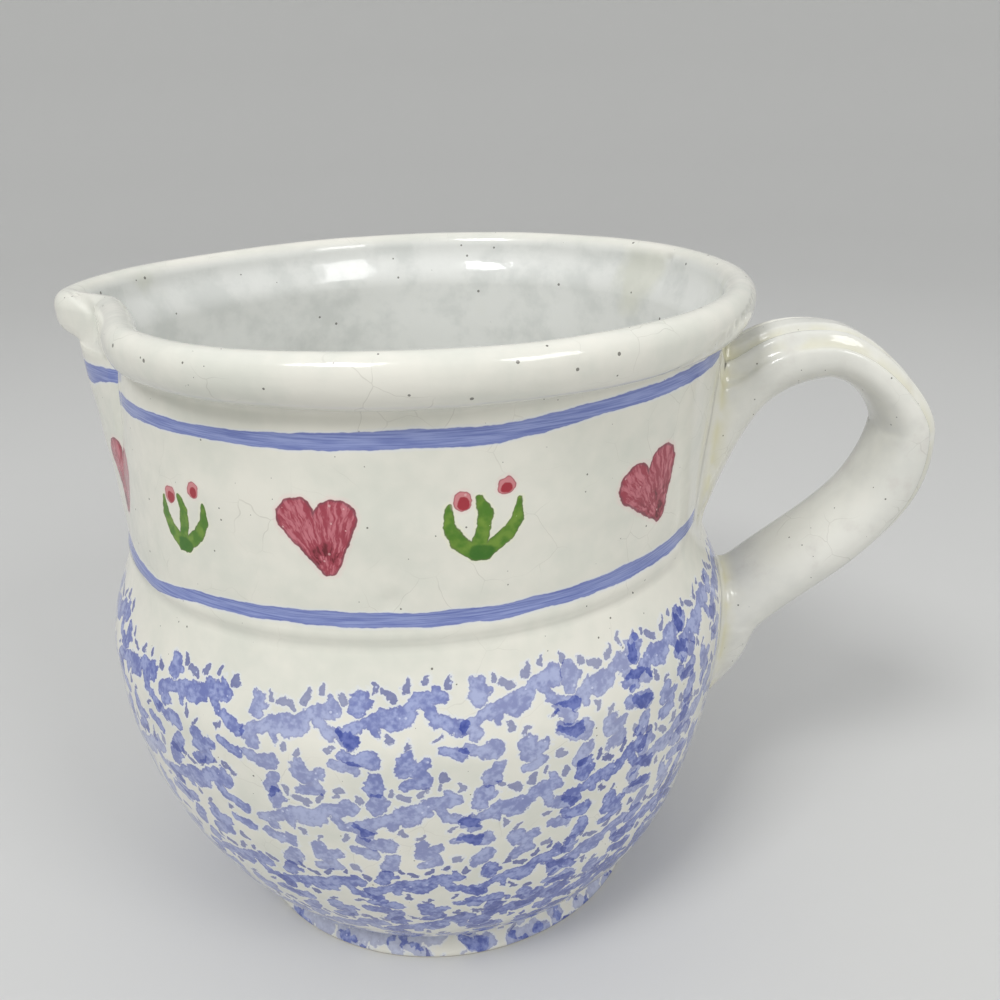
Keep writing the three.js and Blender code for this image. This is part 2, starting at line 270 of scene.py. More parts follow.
def roll_detail(turn, swing):
    side = wrapped(turn)
    depth = 0.3 * min(0, ripple(side, MIDDLE_HEIGHT + swing / 12, 30, 4) - 0.2)
    for fold_depth, width, line, (start, full, fading, end) in FOLDS:
        if start < swing < end and abs(side - line[0][1]) < 60:
            strength = smooth(swing, start, full) * (1 - smooth(swing, fading, end))
            depth -= fold_depth * strength * bump((side - from_table(line, swing)) / width)
    nick = 0.8 * bump(math.hypot((side - 151) * 1.6 / 3, (swing - 165) / 30))
    return depth - nick


def roll_point(turn, swing):
    """A point of the rolled rim, which hangs over the crease and is crowned on top."""
    side = wrapped(turn)
    foot = crease_at(side)
    ahead = roll_path(turn + 0.5) - roll_path(turn - 0.5)
    outward = Vector((-ahead.y, ahead.x, 0)).normalized()
    centre = roll_path(turn)
    if outward.dot(centre - Vector((AXIS, 0, MIDDLE_HEIGHT))) < 0:
        outward.negate()
    angle = math.radians(swing)
    face = outward * math.cos(angle) + Vector((0, 0, math.sin(angle)))
    if swing >= 0:
        point = centre + outward * (ROLL_WIDTH / 2 * math.cos(angle))
        point.z += ROLL_CROWN * math.sin(angle)
        return point + face * roll_detail(turn, swing)
    crease = around(wall_outer(side, foot) + outside_detail(side, foot), turn, foot)
    fullness = 1 - LIP_FULLNESS * tongue(side, LIP_NEAR_EDGE)
    point = crease.lerp(centre + outward * (ROLL_WIDTH / 2), math.cos(angle) ** fullness)
    point.z = mix(MIDDLE_HEIGHT, foot, (-math.sin(angle)) ** fullness)
    return point + face * roll_detail(turn, swing) * smooth(swing, -90, -70)


INNER_TOP = MIDDLE_HEIGHT
INNER_EASE = 185


def inside_point(turn, z):
    """A point of the wall's inside, which the roll flows into below the rim."""
    side = wrapped(turn)
    uneven = 0.5 * ripple(side, z, 40, 7) + 0.15 * math.sin(z / 4 + ripple(side, z, 50, 8))
    radius = wall_outer(side, min(z, CREASE_HEIGHT)) - (NECK_WALL if z > WAIST_HEIGHT else BELLY_WALL)
    ease = smooth(z, INNER_EASE, INNER_TOP)
    wall = around(radius + uneven * (1 - ease), turn, z)
    if z <= INNER_EASE:
        return wall
    edge = roll_point(turn, 180)
    point = wall.lerp(edge, ease)
    point.z = z
    return point


# Pot: the outline's rows from the middle of the underside, up the outside, over the rim and down inside

OUTSIDE_LENGTHS = np.linspace(0, float(np.interp(WAIST_HEIGHT, WALL_Z, WALL_LENGTH)), 68)
OUTSIDE_HEIGHTS = [float(z) for z in np.interp(OUTSIDE_LENGTHS, WALL_LENGTH, WALL_Z)]


def spread(start, end, steps):
    return [mix(start, end, i / steps) for i in range(steps + 1)]


def pot_rows():
    rows = [("fixed", (radius, RECESS_DEPTH)) for radius in (0, 25, 45, 56.9)]
    rows += [("fixed", (56.9, FOOT_HEIGHT - 0.1)), ("fixed", (66.2, FOOT_HEIGHT - 0.1))]
    rows += [("outside", z) for z in OUTSIDE_HEIGHTS]
    rows += [("neck", share) for share in spread(0, 1, 28)[1:]]
    rows += [("roll", swing) for swing in (-86, -80, -72, -62, -52, -42, -32, -21, -10)]
    rows += [("roll", swing) for swing in spread(0, 180, 24)]
    rows += [("inside", z) for z in spread(INNER_TOP, INNER_EASE, 9)[1:]]
    rows += [("inside", z) for z in spread(INNER_EASE, WAIST_HEIGHT + 0.5, 14)[1:]]
    rows += [("inside", z) for z in spread(WAIST_HEIGHT - 0.5, FLOOR_HEIGHT + FLOOR_CORNER, 18)]
    corner = belly_outer(FLOOR_HEIGHT + FLOOR_CORNER) - BELLY_WALL
    for angle in spread(0, 90, 6)[1:]:
        sine, cosine = math.sin(math.radians(angle)), math.cos(math.radians(angle))
        height = FLOOR_HEIGHT + FLOOR_CORNER * (1 - sine)
        rows.append(("fixed", (corner - FLOOR_CORNER * (1 - cosine), height)))
    rows += [("fixed", (radius, FLOOR_HEIGHT)) for radius in (45, 22, 0)]
    return rows


POT_ROWS = pot_rows()


def pot_height(row, turn):
    zone, value = POT_ROWS[row]
    if zone == "fixed":
        return value[1]
    if zone == "neck":
        return mix(WAIST_HEIGHT, crease_at(wrapped(turn)), value)
    return MIDDLE_HEIGHT if zone == "roll" else value


def pot_point(row, turn):
    zone, value = POT_ROWS[row]
    side = wrapped(turn)
    z = pot_height(row, turn)
    if zone == "fixed":
        return around(value[0], turn, z)
    if zone == "roll":
        return roll_point(turn, value)
    if zone == "inside":
        return inside_point(turn, z)
    radius = wall_outer(side, z) + outside_detail(side, z)
    return around(min(radius, BELLY_RADIUS - 0.02) if zone == "outside" else radius, turn, z)


# Columns of the pot's skin stand closest at the lip and at the handle
CLOSE_TURN = -12
CLOSENESS = 0.45


def turn_at(angle):
    swing = math.radians(angle - CLOSE_TURN)
    return wrapped(angle - math.degrees(CLOSENESS / 2 * math.sin(2 * swing)))


# What the paint reads from the mesh: a place in each set of prints and in the motif, and two bands' heights
VECTOR_LAYERS = ("print_1", "print_2", "print_3", "print_4", "motif")
NUMBER_LAYERS = ("upper_band", "lower_band", "inside")


def turned(rows, steps, place, closed=False):
    """A row of points spun about the upright axis. Each then goes where place(row, angle) says."""
    shape = bmesh.new()
    for name in VECTOR_LAYERS:
        shape.loops.layers.float_vector.new(name)
    for name in NUMBER_LAYERS:
        shape.verts.layers.float.new(name)
    shape.loops.layers.uv.new("wall")
    points = [shape.verts.new((1, 0, row)) for row in range(rows)]
    edges = [shape.edges.new(pair) for pair in zip(points, points[1:])]
    bmesh.ops.spin(
        shape, geom=points + edges, cent=(0, 0, 0), axis=(0, 0, 1), angle=math.tau, steps=steps, use_merge=True
    )
    if closed:
        ends = [edge for edge in shape.edges if edge.is_boundary]
        bmesh.ops.bridge_loops(shape, edges=ends)
    places = {}
    for vert in shape.verts:
        places[vert] = (round(vert.co.z), math.degrees(math.atan2(vert.co.y, -vert.co.x)))
    for vert, (row, angle) in places.items():
        vert.co = place(row, angle)
    return shape, places


# Painting: bands as (turn, lower edge, upper edge), read off the wall from the valley round to the handle

UPPER_BAND = [
    (-155, 183.8, 187.9), (-150.5, 183.6, 187.7), (-125, 182.8, 186.6), (-108.5, 180.2, 184.4), (-94, 180.3, 184.8),
    (-79, 179.6, 183.7), (-61, 179.4, 182.4), (-45, 178.2, 181.9), (-28.2, 177.5, 181.4),
]
THROAT_BAND = [
    (-27.8, 182.4, 186.3), (-25.6, 182.3, 186.2), (-19, 179.6, 185.3), (-8, 179, 184.6), (30, 180, 184.5),
    (80, 179.2, 183.4), (130, 181.6, 185.9), (170, 183.8, 187.9),
]
LOWER_BAND = [
    (-153, 133.4, 138.2), (-129, 133.9, 138.3), (-111, 133.7, 137.7), (-95, 134.1, 138.1), (-79, 134.4, 138.5),
    (-59, 133.4, 136.9), (-47, 130.9, 134.1), (-38, 131, 134.4), (-25, 132, 136), (60, 133.2, 137.2),
    (120, 132.4, 136.8), (170, 133.4, 138.2),
]


def band_place(turn, z, table):
    """How far a height is from a band's middle, where 1 and -1 are its edges."""
    lower = from_table([(at, low) for at, low, _ in table], turn)
    upper = from_table([(at, high) for at, _, high in table], turn)
    return (2 * z - lower - upper) / (upper - lower)


# Motifs stand in thirteen places round the neck: hearts and sprigs by turns, two places by the handle empty
MOTIF_PLACES = 13
MOTIF_PITCH = 360 / MOTIF_PLACES
MOTIF_TURN = -27.5
MOTIF_HEIGHT = 157
HEART, SPRIG = 1, 2
MOTIFS = [
    (HEART, 0, 0, -2, 4, 1), (SPRIG, -0.9, 0, -3.6, -3, 0.94), (HEART, 1.1, 0, 1.2, 0, 1),
    (SPRIG, 3.6, 0, 0.4, 0, 1), (HEART, -0.4, 0.4, 0.2, -13, 1.12), None, None,
    (HEART, 0.5, 0, 1, 5, 1), (SPRIG, -1, 0, -1, 3, 1), (HEART, 0.8, 0, 0, -6, 0.98), (SPRIG, 0, 0, -2, -4, 0.97),
    (HEART, -1, 0, 1, 8, 1.02), (SPRIG, 1, 0, -1, 2, 0.95),
]
FAR_OFF = 90


def motif_place(turn, z, centre_turn):
    """A point of the wall in its motif's own millimetres, with the kind of motif as the third number."""
    number = round((MOTIF_TURN - centre_turn) / MOTIF_PITCH) % MOTIF_PLACES
    motif = MOTIFS[number]
    if motif is None:
        return (FAR_OFF, FAR_OFF, 0)
    kind, turn_shift, across, up, tilt, scale = motif
    middle = MOTIF_TURN - MOTIF_PITCH * number + turn_shift
    x = -math.radians(wrapped(turn - middle)) * NECK_RADIUS - across
    y = z - MOTIF_HEIGHT - up
    angle = math.radians(tilt)
    return (
        (x * math.cos(angle) - y * math.sin(angle)) / scale,
        (x * math.sin(angle) + y * math.cos(angle)) / scale,
        kind,
    )


# Sponge prints: one sponge, pressed on in level rows of twenty-four, each print lapping over the next.
# Every print is a turn, a drop below its row, a tilt in degrees and a strength of ink.
PRINT_PITCH = 29.2
PRINT_MIDDLE = (2, -15)
PRINT_ROWS = 5
SEEN_TURNS = (-41.2, -59, -77.5, -93.2, -111, -125.4, -138, -151)
SEEN_DROPS = (5.5, 2, 3.2, 0, -0.4, 1.1, 1.4, 1.2)


def sponge_prints():
    draws = random.Random(11)
    unseen = 16
    step = (360 + SEEN_TURNS[-1] - SEEN_TURNS[0]) / (unseen + 1)
    turns = list(SEEN_TURNS) + [SEEN_TURNS[-1] - step * (i + 1) for i in range(unseen)]
    drops = list(SEEN_DROPS) + [draws.uniform(-1, 3) for _ in range(unseen)]
    rows = []
    for row in range(PRINT_ROWS):
        prints = []
        for turn, drop in zip(turns, drops):
            shift = 0 if row == 0 else draws.uniform(-1.6, 1.2)
            fall = drop if row == 0 else drop / 2 + draws.uniform(-1.5, 1.5)
            ink = draws.uniform(0.72, 1.05)
            dense = bump((turn + 118) / 40)
            if row >= 3:
                fall -= 8 * dense
                ink *= 1 + 0.3 * dense
            if row == 4:
                ink *= 0.55
            prints.append((turn + shift, fall, draws.uniform(-4, 4), ink))
        rows.append(prints)
    return rows


PRINTS = sponge_prints()


def nearest_print(turn, length, column_parity, row_parity):
    """The print of one of the four sets that a place of the wall belongs to, as its row and column."""
    row = min(range(row_parity, PRINT_ROWS, 2), key=lambda r: abs(length - PRINT_PITCH * r + PRINT_MIDDLE[1]))
    columns = range(column_parity, len(PRINTS[row]), 2)
    return row, min(columns, key=lambda c: abs(wrapped(turn + 1.2 - PRINTS[row][c][0])))


def print_place(turn, radius, length, row, column):
    """A point of the wall in a print's own millimetres, with its ink as the third number."""
    middle, drop, tilt, ink = PRINTS[row][column]
    x = -math.radians(wrapped(turn - middle)) * radius - PRINT_MIDDLE[0]
    y = PRINT_PITCH * row + drop - length - PRINT_MIDDLE[1]
    angle = math.radians(tilt)
    return (
        x * math.cos(angle) - y * math.sin(angle) + PRINT_MIDDLE[0],
        x * math.sin(angle) + y * math.cos(angle) + PRINT_MIDDLE[1],
        ink,
    )


PRINT_SETS = [(0, 0), (0, 1), (1, 0), (1, 1)]


def lay_out_painting(shape, spots):
    """Writes what the paint needs to the mesh. Spots maps each vertex to its turn, height, radius and length
    below the top of the sponging, or to None where nothing is painted."""
    *print_layers, motif_layer = (shape.loops.layers.float_vector[name] for name in VECTOR_LAYERS)
    wall_layer = shape.loops.layers.uv["wall"]
    upper_layer, lower_layer = (shape.verts.layers.float[name] for name in NUMBER_LAYERS[:2])
    for vert in shape.verts:
        vert[upper_layer] = vert[lower_layer] = FAR_OFF
        if spots.get(vert):
            turn, z = spots[vert][:2]
            table = THROAT_BAND if turn > VALLEY_TURN else UPPER_BAND
            vert[upper_layer] = band_place(turn, z, table)
            vert[lower_layer] = band_place(turn, z, LOWER_BAND)
    known = {}
    for face in shape.faces:
        corners = [spots.get(loop.vert) for loop in face.loops]
        if None in corners:
            for loop in face.loops:
                loop[motif_layer] = (FAR_OFF, FAR_OFF, 0)
                for layer in print_layers:
                    loop[layer] = (FAR_OFF, FAR_OFF, 0)
            continue
        first = corners[0][0]
        turns = [first + wrapped(corner[0] - first) for corner in corners]
        centre = wrapped(sum(turns) / len(turns))
        length = sum(corner[3] for corner in corners) / len(corners)
        key = (round(centre, 3), round(length, 2))
        if key not in known:
            known[key] = [nearest_print(centre, length, *parities) for parities in PRINT_SETS]
        for loop, (turn, z, radius, down) in zip(face.loops, corners):
            loop[motif_layer] = motif_place(turn, z, centre)
            for layer, (row, column) in zip(print_layers, known[key]):
                loop[layer] = print_place(turn, radius, down, row, column)
            loop[wall_layer].uv = (centre + wrapped(turn - centre), z)


def pot():
    shape, places = turned(len(POT_ROWS), 480, lambda row, angle: pot_point(row, turn_at(angle)))
    spots = {}
    inside = shape.verts.layers.float["inside"]
    for vert, (row, angle) in places.items():
        zone, value = POT_ROWS[row]
        turn = turn_at(angle)
        if zone in ("outside", "neck"):
            z = pot_height(row, turn)
            spots[vert] = (turn, z, wall_outer(turn, z), below_prints_top(z))
        vert[inside] = 1 if zone in ("inside", "fixed") else 0
        if zone == "roll":
            vert[inside] = smooth(value, 120, 175)
    lay_out_painting(shape, spots)
    for face in shape.faces:
        face.material_index = 0 if all(loop.vert in spots for loop in face.loops) else 1
    bmesh.ops.remove_doubles(shape, verts=shape.verts[:], dist=0.001)
    return shape


# Foot ring: its outline from the recess over the tread and up the outside, closed by a hidden top
FOOT_OUTLINE = [
    (57.3, 8.6), (57.3, 5.5), (57.3, 3.4), (58.2, 1.5), (60.2, 0.1), (61.5, 0), (66, 0), (68.8, 0), (69.8, 0.2),
    (70.3, 0.8), (70.2, 1.6), (69.8, 2.4), (69.1, 3.6), (68.4, 5), (67.8, 6.4), (67.4, 7.8), (67.1, 8.8), (62, 8.8),
]
FOOT_OUTSIDE = range(9, 17)


def foot():
    def place(row, angle):
        radius, z = FOOT_OUTLINE[row]
        if row in FOOT_OUTSIDE:
            radius -= 0.15 + 0.15 * ripple(angle, z, 25, 12)
        return around(radius, angle, z)

    shape, places = turned(len(FOOT_OUTLINE), 360, place, closed=True)
    belly_foot = below_prints_top(FOOT_HEIGHT)
    spots = {}
    for vert, (row, angle) in places.items():
        if row in FOOT_OUTSIDE:
            radius, z = FOOT_OUTLINE[row]
            spots[vert] = (wrapped(angle), -FAR_OFF, radius, belly_foot + FOOT_HEIGHT - z)
    lay_out_painting(shape, spots)
    for face in shape.faces:
        tread = all(abs(loop.vert.co.z) < 0.25 for loop in face.loops)
        face.material_index = 1 if tread else 0
    return shape


# Handle

def bezier(points, t):
    a, b, c, d = (Vector((x, z)) for x, z in points)
    return a * (1 - t) ** 3 + b * 3 * t * (1 - t) ** 2 + c * 3 * t * t * (1 - t) + d * t**3


LINE_STEPS = 600


def handle_line():
    """Points of the handle's middle line as (x, z), evenly spaced, the direction at each, and its length."""
    fine = np.array([bezier(arch, i / 400) for arch in HANDLE_LINE for i in range(401)])
    steps = np.hypot(*np.diff(fine, axis=0).T)
    lengths = np.concatenate([[0], np.cumsum(steps)])
    goals = np.linspace(0, lengths[-1], LINE_STEPS + 1)
    line = np.stack([np.interp(goals, lengths, fine[:, i]) for i in (0, 1)], axis=1)
    ways = np.gradient(line, axis=0)
    return line, ways / np.hypot(*ways.T)[:, None], lengths[-1]


LINE, LINE_WAYS, LINE_LENGTH = handle_line()
LINE_SHARES = np.linspace(0, 1, LINE_STEPS + 1)


def smooth_all(x, start, end):
    t = np.clip((x - start) / (end - start), 0, 1)
    return t * t * (3 - 2 * t)


def bump_all(x):
    return np.clip(1 - x * x, 0, 1) ** 2


def strap_sizes(share):
    """Half the strap's width and thickness and the depth of its grooves at shares of its length."""
    flare = (STRAP_ROOT_WIDTH - STRAP_WIDTH) * (1 - smooth_all(share, 0, ROOT_SHARE))
    thinning = BEND_THINNING * bump_all((share - BEND_SHARE) / BEND_SPREAD)
    depth = GROOVE_DEPTH * (1 - smooth_all(share, *GROOVE_FADE)) * smooth_all(share, *GROOVE_START)
    twist = np.radians(np.interp(share, (0, 0.5, 1), TWISTS))
    return (STRAP_WIDTH + flare) / 2, (STRAP_THICKNESS - thinning) / 2, depth, twist


def grooves(x):
    """1 along the middle of each finger groove across the strap, 0 between them."""
    return np.max([bump_all((np.abs(x) - offset) / (GROOVE_WIDTH / 2)) for offset in GROOVE_OFFSETS], axis=0)


def strap_point(share, angle):
    half_width, half_thickness, depth, twist = (float(v) for v in strap_sizes(np.float64(share)))
    centre_x, centre_z = (float(np.interp(share, LINE_SHARES, LINE[:, i])) for i in (0, 1))
    way_x, way_z = (float(np.interp(share, LINE_SHARES, LINE_WAYS[:, i])) for i in (0, 1))
    x = half_width * math.copysign(abs(math.cos(angle)) ** STRAP_SQUARENESS, math.cos(angle))
    y = half_thickness * math.copysign(abs(math.sin(angle)) ** STRAP_SQUARENESS, math.sin(angle))
    if y > 0:
        y -= depth * float(grooves(np.float64(x)))
    side = x * math.cos(twist) - y * math.sin(twist)
    out = x * math.sin(twist) + y * math.cos(twist)
    return Vector((AXIS + centre_x - way_z * out, side, centre_z + way_x * out))


def tail_sizes(z):
    share = np.clip((TAIL_TOP - z) / (TAIL_TOP - TAIL_TIP), 0, 1)
    stand = TAIL_THICKNESS * (1 - share**TAIL_FULLNESS)
    half_width = TAIL_WIDTH / 2 * np.sqrt(1 - (1 - (TAIL_TIP_WIDTH / TAIL_WIDTH) ** 2) * share**2)
    half_thickness = (stand + TAIL_BED) / 2
    return half_width, half_thickness, np.interp(z, WALL_Z, WALL_R) + half_thickness - TAIL_BED


def tail_point(share, angle):
    z = mix(TAIL_TOP, TAIL_TIP, share)
    half_width, half_thickness, middle = (float(v) for v in tail_sizes(np.float64(z)))
    side = half_width * math.cos(angle)
    out = middle + half_thickness * math.sin(angle)
    return Vector((AXIS + lean(z) + math.sqrt(out * out - side * side), side, z))


def tube(place, sides, steps):
    """A round bar pulled out in steps, whose points then go where place(share, angle) says."""
    shape = bmesh.new()
    ring = bmesh.ops.create_circle(shape, cap_ends=True, radius=1, segments=sides)["verts"]
    edges = [edge for edge in shape.edges if all(vert in ring for vert in edge.verts)]
    bmesh.ops.spin(shape, geom=edges, cent=(0, 0, 0), axis=(0, 0, 1), dvec=(0, 0, 1 / steps), angle=0, steps=steps)
    top = [edge for edge in shape.edges if edge.is_boundary and min(v.co.z for v in edge.verts) > 0.5]
    bmesh.ops.holes_fill(shape, edges=top, sides=0)
    for vert in shape.verts:
        vert.co = place(min(1, max(0, vert.co.z)), math.atan2(vert.co.y, vert.co.x))
    bmesh.ops.recalc_face_normals(shape, faces=shape.faces[:])
    return shape


def wall_patch(low, high, half_width):
    """A slab of clay inside the pot's wall behind a place where the handle is pressed on."""
    shape = bmesh.new()
    bmesh.ops.create_cube(shape, size=1)
    bmesh.ops.subdivide_edges(shape, edges=shape.edges[:], cuts=15, use_grid_fill=True)
    for vert in shape.verts:
        z = mix(low, high, vert.co.z + 0.5)
        side = vert.co.y * 2 * half_width
        radius = belly_outer(z) if z < WAIST_HEIGHT else wall_outer(180, z)
        radius += -PATCH_DEPTH[0] - (0.5 - vert.co.x) * (PATCH_DEPTH[1] - PATCH_DEPTH[0])
        vert.co = Vector((AXIS + lean(z) + math.sqrt(radius * radius - side * side), side, z))
    bmesh.ops.recalc_face_normals(shape, faces=shape.faces[:])
    return shape


PATCH_DEPTH = (0.8, 4)
ROOT_PATCH = (124, 188.5, 37)
TAIL_PATCH = (44, 112, 31)
VOXEL = 0.75
HELD_DEPTH = 2.2


def melted(shapes, voxel):
    """The shapes as one skin, by a fine voxel remesh."""
    mesh = bpy.data.meshes.new("clay")
    joined = bmesh.new()
    for shape in shapes:
        shape.to_mesh(mesh)
        shape.free()
        joined.from_mesh(mesh)
    joined.to_mesh(mesh)
    joined.free()
    lump = bpy.data.objects.new("clay", mesh)
    bpy.context.scene.collection.objects.link(lump)
    remesh = lump.modifiers.new("melt", "REMESH")
    remesh.mode = "VOXEL"
    remesh.voxel_size = voxel
    evaluated = lump.evaluated_get(bpy.context.evaluated_depsgraph_get())
    skin = bmesh.new()
    skin.from_mesh(evaluated.to_mesh())
    evaluated.to_mesh_clear()
    bpy.data.objects.remove(lump)
    bpy.data.meshes.remove(mesh)
    return skin


# Distances to the clay, negative inside it, for many points at once. The handle and the wall are melted
# into each other over a rounded hollow, and outside it the handle's skin sinks softly into the wall.

ROOT_REACH = 9
TAIL_REACH = 6.5
THUMB_REACH = 3
SINK = 0.45
DEEP_SINK = 1.2


def melt(a, b, reach):
    h = np.clip(reach - np.abs(a - b), 0, None) / reach
    return np.minimum(a, b) - h * h * reach / 4


def oval_distance(x, y, half_width, half_height, power):
    u, v = np.abs(x) / half_width, np.abs(y) / half_height
    size = np.maximum((u**power + v**power) ** (1 / power), 0.05)
    slope = np.hypot(u ** (power - 1) / half_width, v ** (power - 1) / half_height) * size ** (1 - power)
    return (size - 1) / slope + 0.06


def strap_distance(points, near):
    x, y, z = points[:, 0] - AXIS, points[:, 1], points[:, 2]
    ahead = (x - LINE[near, 0]) * LINE_WAYS[near, 0] + (z - LINE[near, 1]) * LINE_WAYS[near, 1]
    share = np.clip(near / LINE_STEPS + ahead / LINE_LENGTH, 0, 1)
    centre_x, centre_z = (np.interp(share, LINE_SHARES, LINE[:, i]) for i in (0, 1))
    way_x, way_z = (np.interp(share, LINE_SHARES, LINE_WAYS[:, i]) for i in (0, 1))
    half_width, half_thickness, depth, twist = strap_sizes(share)
    out = way_x * (z - centre_z) - way_z * (x - centre_x)
    across = y * np.cos(twist) + out * np.sin(twist)
    up = out * np.cos(twist) - y * np.sin(twist)
    groove = depth * grooves(across) * smooth_all(up, 0, 3)
    return oval_distance(across, up + groove, half_width, half_thickness, 2 / STRAP_SQUARENESS), groove


def tail_distance(points):
    z = points[:, 2]
    half_width, half_thickness, middle = tail_sizes(z)
    out = np.hypot(points[:, 0] - AXIS - np.interp(z, WALL_Z, WALL_LEAN), points[:, 1])
    distance = oval_distance(points[:, 1], out - middle, half_width, half_thickness, 2)
    beyond = np.maximum(z - TAIL_TOP + 1.2, TAIL_TIP - z)
    return np.where(beyond > 0, np.hypot(np.maximum(distance, 0), beyond), distance)


def wall_distance(points):
    z = points[:, 2]
    radius = np.hypot(points[:, 0] - AXIS - np.interp(z, WALL_Z, WALL_LEAN), points[:, 1])
    slope = np.interp(z + 0.5, WALL_Z, WALL_R) - np.interp(z - 0.5, WALL_Z, WALL_R)
    return (radius - np.interp(z, WALL_Z, WALL_R)) / np.sqrt(1 + slope * slope)


def clay_distance(points, near):
    strap, groove = strap_distance(points, near)
    grip = melt(strap, tail_distance(points), THUMB_REACH)
    reach = np.interp(points[:, 2], (105, 135), (TAIL_REACH, ROOT_REACH))
    sink = SINK * smooth_all(grip, 0.55 * reach, 1.6 * reach)
    sink += DEEP_SINK * smooth_all(grip, 1.6 * reach, 2.4 * reach)
    return melt(grip, wall_distance(points) + sink, reach), grip, groove, reach


SLOPE_STEP = 0.06


def slopes(distance_at, points):
    """Direction in which a distance grows fastest at each point."""
    steps = np.eye(3) * SLOPE_STEP
    ways = np.stack([distance_at(points + step) - distance_at(points - step) for step in steps], axis=1)
    return ways / np.maximum(np.linalg.norm(ways, axis=1), 1e-9)[:, None]


BATCH = 4000


def nearest_on_line(points):
    near = np.empty(len(points), int)
    for start in range(0, len(points), BATCH):
        part = points[start:start + BATCH]
        gaps = (part[:, :1] - AXIS - LINE[:, 0]) ** 2 + (part[:, 2:] - LINE[:, 1]) ** 2
        near[start:start + BATCH] = gaps.argmin(axis=1)
    return near


def handle():
    """The strap and its tail grown together with the wall. Returns the shape and each vertex's normal."""
    clay = [tube(strap_point, 64, 240), tube(tail_point, 40, 40), wall_patch(*ROOT_PATCH), wall_patch(*TAIL_PATCH)]
    shape = melted(clay, VOXEL)
    pool_layer = shape.verts.layers.float.new("pool")
    for _ in range(2):
        bmesh.ops.smooth_vert(
            shape, verts=shape.verts[:], factor=0.5, use_axis_x=True, use_axis_y=True, use_axis_z=True
        )
    shape.verts.ensure_lookup_table()
    points = np.array([vert.co for vert in shape.verts])
    near = nearest_on_line(points)
    deep = wall_distance(points) < -HELD_DEPTH
    for _ in range(4):
        distance = np.clip(clay_distance(points, near)[0], -1.5, 1.5)
        ways = slopes(lambda p: clay_distance(p, near)[0], points)
        points[~deep] -= (ways * distance[:, None])[~deep]
    lying = wall_distance(points)
    out = points - np.stack([AXIS + np.interp(points[:, 2], WALL_Z, WALL_LEAN), 0 * lying, points[:, 2]], axis=1)
    out[:, 2] = 0
    out /= np.linalg.norm(out, axis=1)[:, None]
    points += out * np.clip(-PATCH_DEPTH[1] - lying, 0, None)[:, None]
    ways = slopes(lambda p: clay_distance(p, near)[0], points)
    distance, grip, groove, reach = clay_distance(points, near)
    wall_ways = slopes(wall_distance, points)
    on_wall = smooth_all(grip, 0.5 * reach, 0.85 * reach) * (np.abs(wall_distance(points)) < 2)
    ways += (wall_ways - ways) * on_wall[:, None]
    ways /= np.linalg.norm(ways, axis=1)[:, None]
    hollow = np.clip((np.minimum(grip, wall_distance(points)) - distance) * 4 / reach, 0, 1)
    pool = np.clip(groove / GROOVE_DEPTH * 0.5 + hollow, 0, 1)
    for vert, point, wet in zip(shape.verts, points, pool):
        vert.co = point
        vert[pool_layer] = wet
    return shape, ways


def finish_piece(shape, name, materials, normals=None):
    """Turns a bmesh in millimetres into a piece that rides on the pot."""
    bmesh.ops.recalc_face_normals(shape, faces=shape.faces[:])
    bmesh.ops.scale(shape, vec=(MM, MM, MM), verts=shape.verts[:])
    for face in shape.faces:
        face.smooth = True
    mesh = bpy.data.meshes.new(name)
    shape.to_mesh(mesh)
    shape.free()
    if normals is not None:
        mesh.normals_split_custom_set_from_vertices(normals)
    piece = bpy.data.objects.new(name, mesh)
    bpy.context.scene.collection.objects.link(piece)
    for material in materials:
        mesh.materials.append(material)
    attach(piece, "root")
    return piece


# Finishes

def linear(hex_colour):
    """An sRGB colour such as E6E4D8 as linear red, green, blue and alpha."""
    channels = [int(hex_colour[i:i + 2], 16) / 255 for i in (0, 2, 4)]
    return [c / 12.92 if c <= 0.04045 else ((c + 0.055) / 1.055) ** 2.4 for c in channels] + [1]


EASED = {"interpolation_type": "SMOOTHSTEP"}


def add(tree, kind, inputs=None, out=0, **settings):
    """Adds a node with its settings. Each input is another node's output, a value, or a colour such as E6E4D8.
    Returns the output asked for."""
    node = tree.nodes.new("ShaderNode" + kind)
    for name, value in settings.items():
        setattr(node, name, value)
    for socket, given in (inputs or {}).items():
        if isinstance(given, bpy.types.NodeSocket):
            tree.links.new(given, node.inputs[socket])
        else:
            node.inputs[socket].default_value = linear(given) if isinstance(given, str) else given
    return node.outputs[out]


def stroke_edge(tree, offset, along, start_width, end_width):
    """How far a place is outside a brush stroke, from its offset to the stroke's start."""
    reach = add(
        tree, "VectorMath", {0: offset, 1: along / along.length_squared}, "Value", operation="DOT_PRODUCT"
    )
    share = add(tree, "Math", {0: reach, 1: 0.0}, operation="ADD", use_clamp=True)
    gap = add(tree, "VectorMath", {0: share, 1: -along, 2: offset}, operation="MULTIPLY_ADD")
    away = add(tree, "VectorMath", {0: gap}, "Value", operation="LENGTH")
    width = add(tree, "Math", {0: share, 1: end_width - start_width, 2: start_width}, operation="MULTIPLY_ADD")
    return add(tree, "Math", {0: away, 1: width}, operation="SUBTRACT")


TINY = 1e-9


